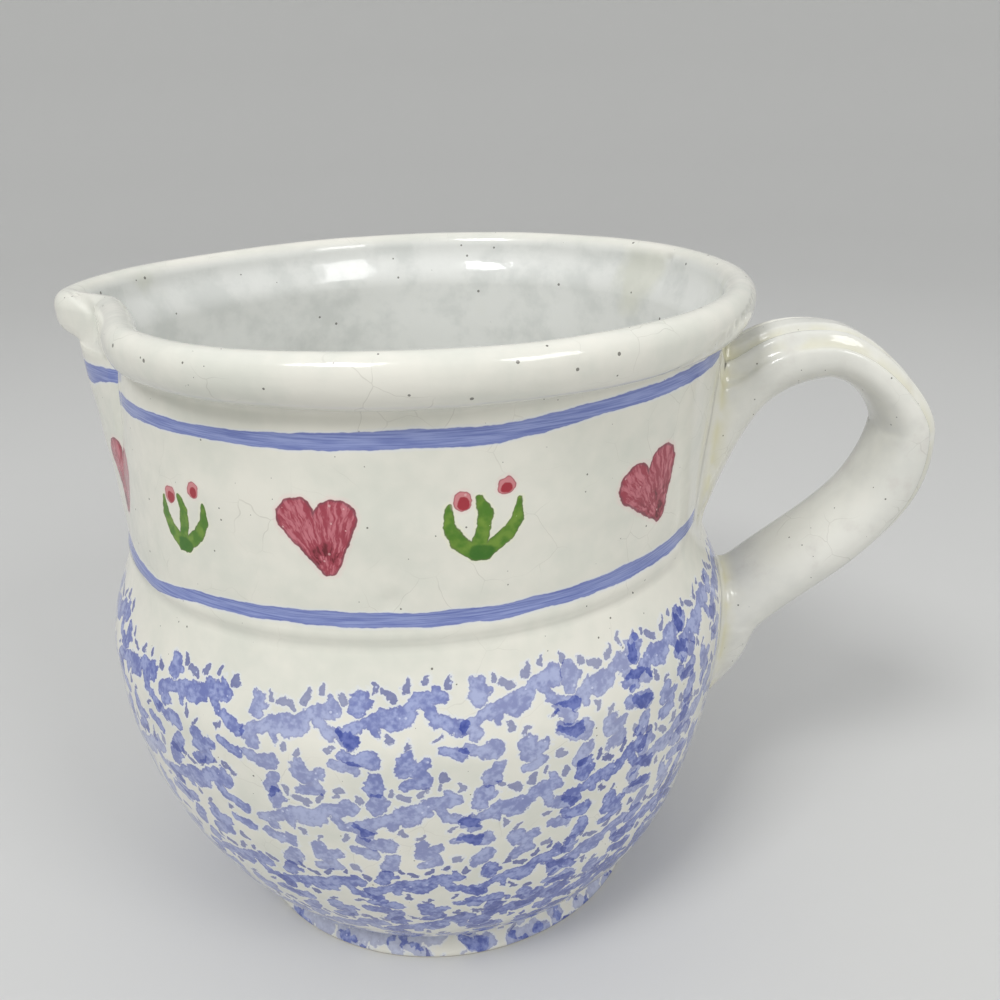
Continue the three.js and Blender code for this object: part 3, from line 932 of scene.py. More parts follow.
def stroke_group(name, sets):
    """A group that says how far a place in millimetres is outside each set of brush strokes. Each stroke waits
    for the one before, by way of a sum too small to matter, so that the renderer keeps few values at a time."""
    group = bpy.data.node_groups.new(name, "ShaderNodeTree")
    group.interface.new_socket("Place", in_out="INPUT", socket_type="NodeSocketVector")
    start_node = group.nodes.new("NodeGroupInput")
    place = add(group, "VectorMath", {0: start_node.outputs[0], 1: (1, 1, 0)}, operation="MULTIPLY")
    edges = {}
    last = None
    for label, strokes in sets.items():
        group.interface.new_socket(label, in_out="OUTPUT", socket_type="NodeSocketFloat")
        for start, end, start_width, end_width in strokes:
            start, end = Vector((*start, 0)), Vector((*end, 0))
            if last is not None:
                place = add(group, "VectorMath", {0: last, 1: (TINY, 0, 0), 2: place}, operation="MULTIPLY_ADD")
            offset = add(group, "VectorMath", {0: place, 1: start}, operation="SUBTRACT")
            near = stroke_edge(group, offset, end - start or Vector((0.01, 0, 0)), start_width, end_width)
            if label in edges:
                near = add(group, "Math", {0: edges[label], 1: near}, operation="MINIMUM")
            last = edges[label] = near
    end_node = group.nodes.new("NodeGroupOutput")
    for label, edge in edges.items():
        group.links.new(edge, end_node.inputs[label])
    return group


# One print of the sponge, as strokes from one point to another with a width at each end, in millimetres
PRINT_BLOTCHES = [
    ((-6.6, -3.2), (-7.4, -6.4), 2.1, 2.2), ((-6.0, -4.9), (-4.1, -4.8), 1.5, 0.9),
    ((-11.5, -12.9), (-6.5, -10.8), 2.0, 1.5), ((-6.5, -10.8), (-1.5, -9.2), 1.6, 2.4),
    ((-1.5, -9.2), (4.6, -8.7), 2.4, 2.5), ((-3.6, -11.5), (-3.1, -13.5), 1.6, 0.8),
    ((0.8, -10.8), (3.6, -9.8), 2.1, 2.2), ((4.6, -8.0), (7.6, -5.8), 1.6, 1.9),
    ((7.6, -5.8), (13.0, -5.4), 2.1, 2.3), ((12.2, -2.6), (12.8, -5.0), 0.9, 1.8),
    ((9.5, -7.8), (11.2, -11.2), 1.4, 1.4), ((11.2, -11.2), (13.7, -12.4), 1.3, 0.9),
    ((-9.2, -15.0), (-10.0, -15.6), 1.7, 1.5), ((-8.6, -20.2), (-5.2, -20.0), 2.0, 2.6),
    ((-12.4, -18.6), (-9.4, -20.0), 1.3, 1.7), ((3.2, -20.2), (3.3, -23.6), 2.0, 2.3),
    ((4.3, -24.0), (8.0, -22.3), 2.1, 1.6), ((2.6, -28.6), (6.8, -27.6), 1.7, 1.8),
    ((6.4, -24.6), (7.3, -27.4), 1.3, 1.3), ((-4.9, -25.6), (-6.6, -28.8), 2.1, 2.5),
    ((12.6, -19.6), (17.4, -21.2), 1.3, 1.9), ((13.6, -11.6), (17.6, -14.0), 1.5, 2.0),
]
PRINT_FLECKS = [
    ((-3.0, -0.6), (-2.6, -2.1), 0.35, 0.75), ((-0.6, -3.1), (1.8, -4.4), 0.75, 0.85),
    ((5.0, -2.9), (6.3, -0.6), 0.9, 0.35), ((9.9, -1.0), (10.3, 0.4), 0.7, 0.25),
    ((15.2, -0.6), (15.9, -2.3), 0.35, 1.15), ((-0.9, -14.0), (-0.4, -15.5), 0.35, 0.75),
    ((10.9, -15.9), (12.3, -14.8), 0.5, 0.4), ((2.9, -17.4), (4.0, -16.4), 0.5, 0.45),
    ((12.1, -27.2), (13.3, -27.8), 1.15, 0.6),
]
HEART_LOBES = [((-5.0, 4.6), (3.2, -9.0), 5.2, 1.3), ((4.6, 4.2), (4.4, -8.4), 5.6, 1.7)]
HEART_TIP = (4.0, -12.5)
SPRIG_LEAVES = [
    ((-8.4, 8.0), (-8.0, 3.0), 0.7, 1.6), ((-8.0, 3.0), (-5.4, -1.4), 1.6, 2.0),
    ((-5.4, -1.4), (-1.2, -4.6), 2.0, 2.0),
    ((-1.2, 9.4), (0.6, 5.4), 1.0, 1.8), ((0.6, 5.4), (0.2, 0.8), 1.8, 1.9), ((0.2, 0.8), (-0.8, -3.6), 1.9, 2.0),
    ((8.6, 8.2), (8.6, 3.2), 0.7, 1.7), ((8.6, 3.2), (5.8, -1.0), 1.7, 2.1), ((5.8, -1.0), (1.2, -4.4), 2.1, 2.0),
]
SPRIG_BASE = [((-0.6, -4.6), (1.6, -4.8), 2.2, 1.9)]
SPRIG_BERRIES = [((-5.2, 9.3), (-5.2, 8.9), 2.3, 2.3), ((5.2, 12.1), (5.2, 11.8), 2.2, 2.2)]
BERRY_HEARTS = [((-4.9, 8.5), (-4.9, 8.4), 1.5, 1.5), ((5.3, 11.4), (5.3, 11.3), 1.4, 1.4)]


def new_material(name):
    material = bpy.data.materials.new(name)
    material.use_nodes = True
    tree = material.node_tree
    surface = tree.nodes["Principled BSDF"]
    surface.inputs["IOR"].default_value = 1.5
    centre = add(tree, "TexCoord", out="Object")
    place = add(tree, "Mapping", {"Vector": centre, "Scale": (1 / MM, 1 / MM, 1 / MM)})
    return material, tree, surface, place


def glaze_ground(tree, place, light, dull):
    """White tin glaze over earthenware: cloudy where it lies thick or thin, with pinholes and a few crackle
    lines. Returns its colour."""
    cloud = add(tree, "TexNoise", {"Vector": place, "Scale": 1 / 26, "Detail": 3})
    grain = add(tree, "TexNoise", {"Vector": place, "Scale": 1 / 5, "Detail": 2})
    cloudy = add(tree, "Math", {0: grain, 1: 0.35, 2: cloud}, operation="MULTIPLY_ADD")
    share = add(tree, "MapRange", {0: cloudy, 1: 0.5, 2: 0.95}, **EASED)
    colour = add(tree, "Mix", {0: share, 6: light, 7: dull}, 2, data_type="RGBA")
    # Pinholes up to 0.6 mm wide, most of them much finer
    hole = add(tree, "TexVoronoi", {"Vector": place, "Scale": 1 / 3.2}).node
    chance = add(tree, "SeparateXYZ", {0: hole.outputs["Color"]})
    size = add(tree, "MapRange", {0: chance, 1: 0.4, 2: 1, 3: 0.0, 4: 0.095}, **EASED)
    share = add(tree, "Math", {0: hole.outputs["Distance"], 1: size}, operation="LESS_THAN")
    holes = add(tree, "Math", {0: share, 1: 0.8}, operation="MULTIPLY")
    # Crackle lines are hair-fine on the pot, and drawn 0.2 mm wide so that they show
    noise = add(tree, "TexNoise", {"Vector": place, "Scale": 1 / 9}, 1)
    bent = add(tree, "VectorMath", {0: noise, 1: (5, 5, 5), 2: place}, operation="MULTIPLY_ADD")
    cracks = add(tree, "TexVoronoi", {"Vector": bent, "Scale": 1 / 13}, "Distance", feature="DISTANCE_TO_EDGE")
    fine = add(tree, "MapRange", {0: cracks, 1: 0.003, 2: 0.009, 3: 1, 4: 0}, **EASED)
    noise = add(tree, "TexNoise", {"Vector": place, "Scale": 1 / 22, "Detail": 1})
    patchy = add(tree, "MapRange", {0: noise, 1: 0.48, 2: 0.68, 3: 0, 4: 0.26}, **EASED)
    share = add(tree, "Math", {0: fine, 1: patchy}, operation="MULTIPLY")
    colour = add(tree, "Mix", {0: share, 6: colour, 7: "9C978A"}, 2, data_type="RGBA")
    return add(tree, "Mix", {0: holes, 6: colour, 7: "3E3B33"}, 2, data_type="RGBA")


def gloss(tree, surface, place):
    """Melted glass: smooth and bright, with a faint waviness that breaks up the lamps' reflections."""
    noise = add(tree, "TexNoise", {"Vector": place, "Scale": 1 / 14})
    rough = add(tree, "MapRange", {0: noise, 1: 0.3, 2: 0.7, 3: 0.07, 4: 0.16}, **EASED)
    tree.links.new(rough, surface.inputs["Roughness"])
    ripples = add(tree, "TexNoise", {"Vector": place, "Scale": 1 / 2.4, "Detail": 1})
    swells = add(tree, "TexNoise", {"Vector": place, "Scale": 1 / 7, "Detail": 2})
    wave = add(tree, "Math", {0: ripples, 1: 0.12, 2: swells}, operation="MULTIPLY_ADD")
    dent = add(tree, "Bump", {"Height": wave, "Strength": 0.22, "Distance": 0.0006})
    tree.links.new(dent, surface.inputs["Normal"])


def band_paint(tree, colour, name, wander, streaks):
    """Cobalt blue laid on with a flat brush while the pot turns, so that it is streaked lengthwise."""
    height = add(tree, "Attribute", out="Fac", attribute_name=name)
    across = add(tree, "Math", {0: height, 1: wander}, operation="ADD")
    across = add(tree, "Math", {0: across}, operation="ABSOLUTE")
    inside = add(tree, "MapRange", {0: across, 1: 0.93, 2: 1.07, 3: 1, 4: 0}, **EASED)
    rim = add(tree, "MapRange", {0: across, 1: 0.6, 2: 0.95, 3: 0, 4: 0.45}, **EASED)
    blue = add(tree, "Mix", {0: streaks, 6: "8F9CD0", 7: "6070B4"}, 2, data_type="RGBA")
    blue = add(tree, "Mix", {0: rim, 6: blue, 7: "6571B2"}, 2, data_type="RGBA")
    halo = add(tree, "MapRange", {0: across, 1: 1.0, 2: 1.45, 3: 0.5, 4: 0}, **EASED)
    colour = add(tree, "Mix", {0: halo, 6: colour, 7: "DFE3EC"}, 2, data_type="RGBA")
    share = add(tree, "Math", {0: inside, 1: 0.96}, operation="MULTIPLY")
    return add(tree, "Mix", {0: share, 6: colour, 7: blue}, 2, data_type="RGBA")


def sponge_paint(tree, colour, place, mottle, specks):
    """Cobalt blue dabbed on with a cut sponge: pale where it lies once, deep where prints lap."""
    noise = add(tree, "TexNoise", {"Vector": place, "Scale": 1 / 2.2, "Detail": 3, "Roughness": 0.6}, 1)
    fine = add(tree, "VectorMath", {0: noise, 1: (-0.5, -0.5, 0)})
    noise = add(tree, "TexNoise", {"Vector": place, "Scale": 1 / 8, "Detail": 1}, 1)
    coarse = add(tree, "VectorMath", {0: noise, 1: (-0.5, -0.5, 0)})
    ragged = add(tree, "VectorMath", {0: fine, 1: (3.4, 3.4, 0)}, operation="MULTIPLY")
    ragged = add(tree, "VectorMath", {0: coarse, 1: (3.4, 3.4, 0), 2: ragged}, operation="MULTIPLY_ADD")
    total = nearest = flecks = None
    for i in range(4):
        spot = add(tree, "Attribute", out="Vector", attribute_name=f"print_{i + 1}")
        ink = add(tree, "SeparateXYZ", {0: spot}, 2)
        moved = add(tree, "VectorMath", {0: spot, 1: ragged})
        stamp = add(tree, "Group", {0: moved}, node_tree=SPONGE).node
        edge = add(
            tree, "Math", {0: stamp.outputs["Blotches"], 1: stamp.outputs["Flecks"]}, operation="MINIMUM"
        )
        missing = add(tree, "Math", {0: ink, 1: 0.05}, operation="LESS_THAN")
        edge = add(tree, "Math", {0: missing, 1: 50.0, 2: edge}, operation="MULTIPLY_ADD")
        share = add(tree, "MapRange", {0: edge, 1: 0.05, 2: 0.35, 3: 1, 4: 0}, **EASED)
        cover = add(tree, "Math", {0: share, 1: ink}, operation="MULTIPLY")
        fleck = add(tree, "MapRange", {0: stamp.outputs["Flecks"], 1: 0.05, 2: 0.35, 3: 1, 4: 0}, **EASED)
        total = cover if total is None else add(tree, "Math", {0: total, 1: cover}, operation="ADD")
        nearest = edge if nearest is None else add(tree, "Math", {0: nearest, 1: edge}, operation="MINIMUM")
        flecks = fleck if flecks is None else add(tree, "Math", {0: flecks, 1: fleck}, operation="MAXIMUM")
    share = add(tree, "MapRange", {0: nearest, 1: 0.2, 2: 1.1, 3: 0.55, 4: 0}, **EASED)
    colour = add(tree, "Mix", {0: share, 6: colour, 7: "E4E8F0"}, 2, data_type="RGBA")
    pale = add(tree, "Mix", {0: mottle, 6: "9CA7D6", 7: "626FB3"}, 2, data_type="RGBA")
    deep = add(tree, "Mix", {0: mottle, 6: "6673B8", 7: "3F4F9E"}, 2, data_type="RGBA")
    share = add(tree, "MapRange", {0: total, 1: 0.95, 2: 1.75}, **EASED)
    blue = add(tree, "Mix", {0: share, 6: pale, 7: deep}, 2, data_type="RGBA")
    rise = add(tree, "MapRange", {0: nearest, 1: -0.55, 2: 0.0, 3: 0, 4: 0.55}, **EASED)
    fall = add(tree, "MapRange", {0: nearest, 1: 0.1, 2: 0.3, 3: 1, 4: 0}, **EASED)
    rim = add(tree, "Math", {0: rise, 1: fall}, operation="MULTIPLY")
    blue = add(tree, "Mix", {0: rim, 6: blue, 7: "646BA8"}, 2, data_type="RGBA")
    share = add(tree, "MapRange", {0: total, 1: 1.05, 2: 1.2, 3: 0.75, 4: 0}, **EASED)
    lonely = add(tree, "Math", {0: flecks, 1: share}, operation="MULTIPLY")
    blue = add(tree, "Mix", {0: lonely, 6: blue, 7: "70749E"}, 2, data_type="RGBA")
    blue = add(tree, "Mix", {0: specks, 6: blue, 7: "CBD2EE"}, 2, data_type="RGBA")
    share = add(tree, "Math", {0: total, 1: 1.0}, operation="MINIMUM")
    return add(tree, "Mix", {0: share, 6: colour, 7: blue}, 2, data_type="RGBA")


def motif_paint(tree, colour, place, specks):
    """Hearts and sprigs in crimson and green, each a few strokes of a round brush."""
    spot = add(tree, "Attribute", out="Vector", attribute_name="motif")
    kind = add(tree, "SeparateXYZ", {0: spot}, 2)
    noise = add(tree, "TexNoise", {"Vector": place, "Scale": 1 / 2.5, "Detail": 2}, 1)
    shaky = add(tree, "VectorMath", {0: noise, 1: (-0.5, -0.5, 0)})
    moved = add(tree, "VectorMath", {0: shaky, 1: (1.5, 1.5, 0), 2: spot}, operation="MULTIPLY_ADD")
    motif = add(tree, "Group", {0: moved}, node_tree=MOTIF).node
    is_heart = add(tree, "Math", {0: kind, 1: 1.0, 2: 0.5}, operation="COMPARE")
    is_sprig = add(tree, "Math", {0: kind, 1: 2.0, 2: 0.5}, operation="COMPARE")
    # Bristle marks run from the heart's lobes down to its tip
    toward_tip = add(tree, "VectorMath", {0: moved, 1: (*HEART_TIP, 0)}, operation="SUBTRACT")
    tip_parts = add(tree, "SeparateXYZ", {0: toward_tip}).node
    fan = add(tree, "Math", {0: tip_parts.outputs[0], 1: tip_parts.outputs[1]}, operation="ARCTAN2")
    far = add(tree, "VectorMath", {0: toward_tip}, "Value", operation="LENGTH")
    turn = add(tree, "Math", {0: fan, 1: 15.0}, operation="MULTIPLY")
    reach = add(tree, "Math", {0: far, 1: 0.16}, operation="MULTIPLY")
    bristles = add(tree, "CombineXYZ", {0: turn, 1: reach})
    marks = add(tree, "TexNoise", {"Vector": bristles, "Scale": 1.0, "Detail": 3.0, "Roughness": 0.62})
    marks = add(tree, "MapRange", {0: marks, 1: 0.36, 2: 0.64}, **EASED)
    noise = add(tree, "TexNoise", {"Vector": place, "Scale": 1 / 4, "Detail": 3})
    blots = add(tree, "MapRange", {0: noise, 1: 0.42, 2: 0.62}, **EASED)
    low = add(tree, "MapRange", {0: far, 1: 4, 2: 17, 3: 0.85, 4: 0.1}, **EASED)
    blotted = add(tree, "Math", {0: blots, 1: low}, operation="MULTIPLY")
    wet = add(tree, "Math", {0: marks, 1: 0.5, 2: blotted}, operation="MULTIPLY_ADD")
    share = add(tree, "MapRange", {0: wet, 1: 0.05, 2: 0.45}, **EASED)
    rose = add(tree, "Mix", {0: share, 6: "C6737E", 7: "A03C4C"}, 2, data_type="RGBA")
    share = add(tree, "MapRange", {0: wet, 1: 0.5, 2: 1.1}, **EASED)
    rose = add(tree, "Mix", {0: share, 6: rose, 7: "64101E"}, 2, data_type="RGBA")
    share = add(tree, "Math", {0: specks, 1: 0.8}, operation="MULTIPLY")
    rose = add(tree, "Mix", {0: share, 6: rose, 7: "E2B8B8"}, 2, data_type="RGBA")
    heart = motif.outputs["Heart"]
    rise = add(tree, "MapRange", {0: heart, 1: -0.75, 2: -0.3, 3: 0, 4: 0.75}, **EASED)
    fall = add(tree, "MapRange", {0: heart, 1: -0.2, 2: 0.1, 3: 1, 4: 0}, **EASED)
    line = add(tree, "Math", {0: rise, 1: fall}, operation="MULTIPLY")
    rose = add(tree, "Mix", {0: line, 6: rose, 7: "7A4650"}, 2, data_type="RGBA")
    share = add(tree, "MapRange", {0: heart, 1: 0.1, 2: 1.4, 3: 0.45, 4: 0}, **EASED)
    halo = add(tree, "Math", {0: share, 1: is_heart}, operation="MULTIPLY")
    colour = add(tree, "Mix", {0: halo, 6: colour, 7: "EBD3CE"}, 2, data_type="RGBA")
    share = add(tree, "MapRange", {0: heart, 1: -0.12, 2: 0.12, 3: 1, 4: 0}, **EASED)
    share = add(tree, "Math", {0: share, 1: is_heart}, operation="MULTIPLY")
    colour = add(tree, "Mix", {0: share, 6: colour, 7: rose}, 2, data_type="RGBA")
    leaf = add(tree, "Math", {0: motif.outputs["Leaves"], 1: motif.outputs["Base"]}, operation="MINIMUM")
    noise = add(tree, "TexNoise", {"Vector": place, "Scale": 1 / 3, "Detail": 2})
    lush = add(tree, "MapRange", {0: noise, 1: 0.35, 2: 0.65}, **EASED)
    green = add(tree, "Mix", {0: lush, 6: "719430", 7: "4B7C16"}, 2, data_type="RGBA")
    share = add(tree, "MapRange", {0: motif.outputs["Base"], 1: -0.4, 2: 0.5, 3: 0.85, 4: 0}, **EASED)
    green = add(tree, "Mix", {0: share, 6: green, 7: "2F6A0C"}, 2, data_type="RGBA")
    share = add(tree, "MapRange", {0: leaf, 1: -0.6, 2: -0.1, 3: 0, 4: 0.6}, **EASED)
    green = add(tree, "Mix", {0: share, 6: green, 7: "5E6E3C"}, 2, data_type="RGBA")
    green = add(tree, "Mix", {0: specks, 6: green, 7: "D9E2A8"}, 2, data_type="RGBA")
    share = add(tree, "MapRange", {0: leaf, 1: 0.1, 2: 0.9, 3: 0.5, 4: 0}, **EASED)
    share = add(tree, "Math", {0: share, 1: is_sprig}, operation="MULTIPLY")
    colour = add(tree, "Mix", {0: share, 6: colour, 7: "ECEBD0"}, 2, data_type="RGBA")
    share = add(tree, "MapRange", {0: leaf, 1: -0.12, 2: 0.12, 3: 1, 4: 0}, **EASED)
    share = add(tree, "Math", {0: share, 1: is_sprig}, operation="MULTIPLY")
    colour = add(tree, "Mix", {0: share, 6: colour, 7: green}, 2, data_type="RGBA")
    berry = motif.outputs["Berries"]
    share = add(tree, "MapRange", {0: motif.outputs["Berry hearts"], 1: -0.15, 2: 0.15, 3: 1, 4: 0}, **EASED)
    red = add(tree, "Mix", {0: share, 6: "CF8488", 7: "A32A38"}, 2, data_type="RGBA")
    share = add(tree, "MapRange", {0: berry, 1: -0.4, 2: -0.1, 3: 0, 4: 0.6}, **EASED)
    red = add(tree, "Mix", {0: share, 6: red, 7: "8A3A44"}, 2, data_type="RGBA")
    share = add(tree, "Math", {0: specks, 1: 0.7}, operation="MULTIPLY")
    red = add(tree, "Mix", {0: share, 6: red, 7: "E8C8C4"}, 2, data_type="RGBA")
    share = add(tree, "MapRange", {0: berry, 1: 0.1, 2: 1.1, 3: 0.4, 4: 0}, **EASED)
    share = add(tree, "Math", {0: share, 1: is_sprig}, operation="MULTIPLY")
    colour = add(tree, "Mix", {0: share, 6: colour, 7: "EBD3CE"}, 2, data_type="RGBA")
    share = add(tree, "MapRange", {0: berry, 1: -0.12, 2: 0.12, 3: 1, 4: 0}, **EASED)
    share = add(tree, "Math", {0: share, 1: is_sprig}, operation="MULTIPLY")
    return add(tree, "Mix", {0: share, 6: colour, 7: red}, 2, data_type="RGBA")


SPONGE = stroke_group("sponge_print", {"Blotches": PRINT_BLOTCHES, "Flecks": PRINT_FLECKS})
MOTIF = stroke_group(
    "heart_and_sprig",
    {
        "Heart": HEART_LOBES, "Leaves": SPRIG_LEAVES, "Base": SPRIG_BASE,
        "Berries": SPRIG_BERRIES, "Berry hearts": BERRY_HEARTS,
    },
)


def painted_glaze():
    """Tin-glazed earthenware painted on the raw glaze: the colours sink in and keep a glassy gloss."""
    material, tree, surface, place = new_material("painted_tin_glaze")
    colour = glaze_ground(tree, place, "E9E7DC", "DCDDD2")
    # Specks of bare glaze 0.3 to 0.5 mm wide in the paint
    dots = add(tree, "TexVoronoi", {"Vector": place, "Scale": 1 / 2.3}).node
    chance = add(tree, "SeparateXYZ", {0: dots.outputs["Color"]}, 1)
    size = add(tree, "MapRange", {0: chance, 1: 0.3, 2: 1, 3: 0.0, 4: 0.17}, **EASED)
    share = add(tree, "Math", {0: dots.outputs["Distance"], 1: size}, operation="LESS_THAN")
    specks = add(tree, "Math", {0: share, 1: 0.75}, operation="MULTIPLY")
    fine = add(tree, "TexNoise", {"Vector": place, "Scale": 1 / 1.3, "Detail": 2})
    coarse = add(tree, "TexNoise", {"Vector": place, "Scale": 1 / 5, "Detail": 2})
    coarse = add(tree, "Math", {0: coarse, 1: 0.7}, operation="MULTIPLY")
    mottle = add(tree, "Math", {0: fine, 1: 0.6, 2: coarse}, operation="MULTIPLY_ADD")
    mottle = add(tree, "MapRange", {0: mottle, 1: 0.5, 2: 0.78}, **EASED)
    colour = sponge_paint(tree, colour, place, mottle, specks)
    wall = add(tree, "UVMap", uv_map="wall")
    brushed = add(tree, "Mapping", {"Vector": wall, "Scale": (0.11, 2.3, 1)})
    streaks = add(tree, "TexNoise", {"Vector": brushed, "Scale": 1.0, "Detail": 3.0, "Roughness": 0.6})
    streaks = add(tree, "MapRange", {0: streaks, 1: 0.36, 2: 0.66}, **EASED)
    wide = add(tree, "TexNoise", {"Vector": place, "Scale": 1 / 9, "Detail": 3})
    narrow = add(tree, "TexNoise", {"Vector": place, "Scale": 1 / 1.6, "Detail": 1})
    narrow = add(tree, "Math", {0: narrow, 1: 0.14, 2: -0.47}, operation="MULTIPLY_ADD")
    wander = add(tree, "Math", {0: wide, 1: 0.8, 2: narrow}, operation="MULTIPLY_ADD")
    for name in ("upper_band", "lower_band"):
        colour = band_paint(tree, colour, name, wander, streaks)
    colour = motif_paint(tree, colour, place, specks)
    tree.links.new(colour, surface.inputs["Base Color"])
    gloss(tree, surface, place)
    return material


def plain_glaze():
    """The same glaze unpainted. Inside the pot it is greyer and more cloudy, and its colour is lifted a little
    lighter than the rim's as painted light that brightens the shade falling inside the pot.
    """
    material, tree, surface, place = new_material("plain_tin_glaze")
    rim = glaze_ground(tree, place, "ECEAE0", "DFE0D6")
    # Inside colours: a cooler, cloudier glaze, painted lighter than the rim as painted light against the shade
    # inside the pot
    noise = add(tree, "TexNoise", {"Vector": place, "Scale": 1 / 16, "Detail": 4, "Roughness": 0.6})
    share = add(tree, "MapRange", {0: noise, 1: 0.42, 2: 0.66}, **EASED)
    inside = add(tree, "Mix", {0: share, 6: "EEEFEB", 7: "E0E2DE"}, 2, data_type="RGBA")
    noise = add(tree, "TexNoise", {"Vector": place, "Scale": 1 / 30, "Detail": 2})
    share = add(tree, "MapRange", {0: noise, 1: 0.6, 2: 0.75, 3: 0, 4: 0.5}, **EASED)
    inside = add(tree, "Mix", {0: share, 6: inside, 7: "E4E4D2"}, 2, data_type="RGBA")
    amount = add(tree, "Attribute", out="Fac", attribute_name="inside")
    colour = add(tree, "Mix", {0: amount, 6: rim, 7: inside}, 2, data_type="RGBA")
    hole = add(tree, "TexVoronoi", {"Vector": place, "Scale": 1 / 7}).node
    share = add(tree, "Math", {0: hole.outputs["Distance"], 1: 0.07}, operation="LESS_THAN")
    holes = add(tree, "Math", {0: share, 1: 0.75}, operation="MULTIPLY")
    colour = add(tree, "Mix", {0: holes, 6: colour, 7: "4A463E"}, 2, data_type="RGBA")
    tree.links.new(colour, surface.inputs["Base Color"])
    gloss(tree, surface, place)
    return material


def handle_glaze():
    """Tin glaze that has run: thin and pinkish on the ridges, thick and straw-coloured in the hollows."""
    material, tree, surface, place = new_material("run_tin_glaze")
    colour = glaze_ground(tree, place, "E8E7DF", "DBDBD4")
    noise = add(tree, "TexNoise", {"Vector": place, "Scale": 1 / 13, "Detail": 4, "Roughness": 0.65})
    smudges = add(tree, "MapRange", {0: noise, 1: 0.55, 2: 0.75, 3: 0, 4: 0.4}, **EASED)
    colour = add(tree, "Mix", {0: smudges, 6: colour, 7: "CFC8C2"}, 2, data_type="RGBA")
    pool = add(tree, "Attribute", out="Fac", attribute_name="pool")
    runs = add(tree, "TexNoise", {"Vector": place, "Scale": 1 / 9})
    runs = add(tree, "MapRange", {0: runs, 1: 0.3, 2: 0.6}, **EASED)
    wet = add(tree, "Math", {0: pool, 1: runs}, operation="MULTIPLY")
    share = add(tree, "Math", {0: wet, 1: 0.75}, operation="MULTIPLY")
    colour = add(tree, "Mix", {0: share, 6: colour, 7: "DAD5AE"}, 2, data_type="RGBA")
    tree.links.new(colour, surface.inputs["Base Color"])
    gloss(tree, surface, place)
    return material


def bare_clay():
    """Biscuit-fired earthenware where the foot was wiped clean of glaze: buff, dry and finely gritty."""
    material, tree, surface, place = new_material("bare_earthenware")
    noise = add(tree, "TexNoise", {"Vector": place, "Scale": 1 / 1.2, "Detail": 3})
    grit = add(tree, "MapRange", {0: noise, 1: 0.35, 2: 0.7}, **EASED)
    colour = add(tree, "Mix", {0: grit, 6: "C9B594", 7: "AE9270"}, 2, data_type="RGBA")
    tree.links.new(colour, surface.inputs["Base Color"])
    surface.inputs["Roughness"].default_value = 0.85
    dent = add(tree, "Bump", {"Height": grit, "Strength": 0.4, "Distance": 0.0002})
    tree.links.new(dent, surface.inputs["Normal"])
    return material


painted, plain = painted_glaze(), plain_glaze()

pot_piece = finish_piece(pot(), "glazed_pot", [painted, plain])
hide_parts("belly", "neck", "rolled_rim", "pouring_lip")
foot_piece = finish_piece(foot(), "turned_foot", [painted, bare_clay()])
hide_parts("foot_ring")
handle_shape, handle_normals = handle()
handle_piece = finish_piece(handle_shape, "strap_handle", [handle_glaze()], handle_normals)
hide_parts("handle_root", "handle_strap", "handle_tail")


# Stage, light and camera

STAGE_OUTLINE = [
    (0, 0), (0.5, 0), (1.2, 0), (1.5, 0.02), (1.8, 0.12), (2.05, 0.32), (2.2, 0.6), (2.25, 0.95), (2.25, 2),
]


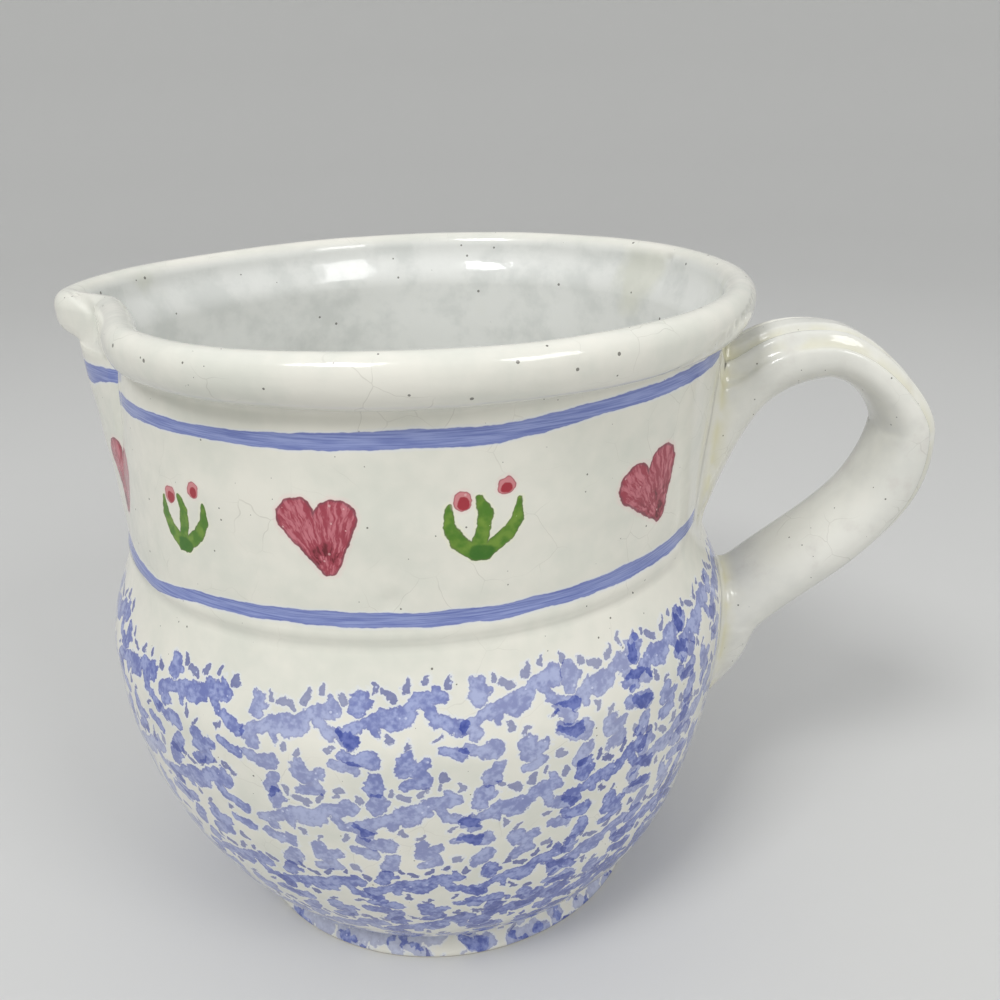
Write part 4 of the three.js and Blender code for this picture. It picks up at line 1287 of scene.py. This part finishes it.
def stage():
    """A round sweep of matt pale paper."""
    shape = bmesh.new()
    points = [shape.verts.new((radius, 0, z)) for radius, z in STAGE_OUTLINE]
    edges = [shape.edges.new(pair) for pair in zip(points, points[1:])]
    bmesh.ops.spin(
        shape, geom=points + edges, cent=(0, 0, 0), axis=(0, 0, 1), angle=math.tau, steps=96, use_merge=True
    )
    bmesh.ops.remove_doubles(shape, verts=shape.verts[:], dist=0.0001)
    bmesh.ops.recalc_face_normals(shape, faces=shape.faces[:])
    mesh = bpy.data.meshes.new("paper_sweep")
    shape.to_mesh(mesh)
    shape.free()
    for face in mesh.polygons:
        face.use_smooth = True
    sweep = bpy.data.objects.new("paper_sweep", mesh)
    bpy.context.scene.collection.objects.link(sweep)
    material = bpy.data.materials.new("pale_paper")
    material.use_nodes = True
    surface = material.node_tree.nodes["Principled BSDF"]
    surface.inputs["Base Color"].default_value = linear("D6D6D4")
    surface.inputs["Roughness"].default_value = 0.95
    surface.inputs["Specular IOR Level"].default_value = 0.1
    mesh.materials.append(material)


def soft_box(name, place, aim, width, height, watts):
    light = bpy.data.lights.new(name, "AREA")
    light.shape = "RECTANGLE"
    light.size, light.size_y = width, height
    light.energy = watts
    lamp = bpy.data.objects.new(name, light)
    lamp.location = place
    lamp.rotation_mode = "QUATERNION"
    lamp.rotation_quaternion = (Vector(aim) - Vector(place)).to_track_quat("-Z", "Y")
    bpy.context.scene.collection.objects.link(lamp)


# Heading, dip and roll in radians, place from the pot's axis in millimetres, and lens and sensor width
CAMERA_TURN = (-0.0743, 0.40441, -0.0278)
CAMERA_PLACE = (45.80, -289.16, 253.39)
CAMERA_LENS = (34.2, 36)


def camera():
    """The photograph's viewpoint, found from the rim, the bands and the foot as level circles."""
    heading, dip, roll = CAMERA_TURN
    forward = Vector((math.sin(heading) * math.cos(dip), math.cos(heading) * math.cos(dip), -math.sin(dip)))
    level = Vector((math.cos(heading), -math.sin(heading), 0))
    upright = level.cross(forward)
    right = level * math.cos(roll) + upright * math.sin(roll)
    up = upright * math.cos(roll) - level * math.sin(roll)
    lens = bpy.data.cameras.new("camera")
    lens.lens, lens.sensor_width = CAMERA_LENS
    lens.clip_start, lens.clip_end = 0.01, 50
    view = bpy.data.objects.new("camera", lens)
    turn = Matrix((right, up, -forward)).transposed()
    x, y, z = CAMERA_PLACE
    place = Vector((AXIS + x, y, z)) * MM
    view.matrix_world = Matrix.Translation(place) @ turn.to_4x4()
    bpy.context.scene.collection.objects.link(view)
    bpy.context.scene.camera = view


stage()
camera()
soft_box("key", (-0.5, -0.9, 1.5), (0, 0, 0.1), 0.5, 0.5, 12)
soft_box("fill", (0.9, -0.8, 1.1), (0, 0, 0.1), 0.5, 0.5, 5)
world = bpy.data.worlds.new("studio")
world.use_nodes = True
world.node_tree.nodes["Background"].inputs["Color"].default_value = linear("F2F3F5")
world.node_tree.nodes["Background"].inputs["Strength"].default_value = 0.75
bpy.context.scene.world = world
bpy.context.scene.view_settings.view_transform = "Standard"
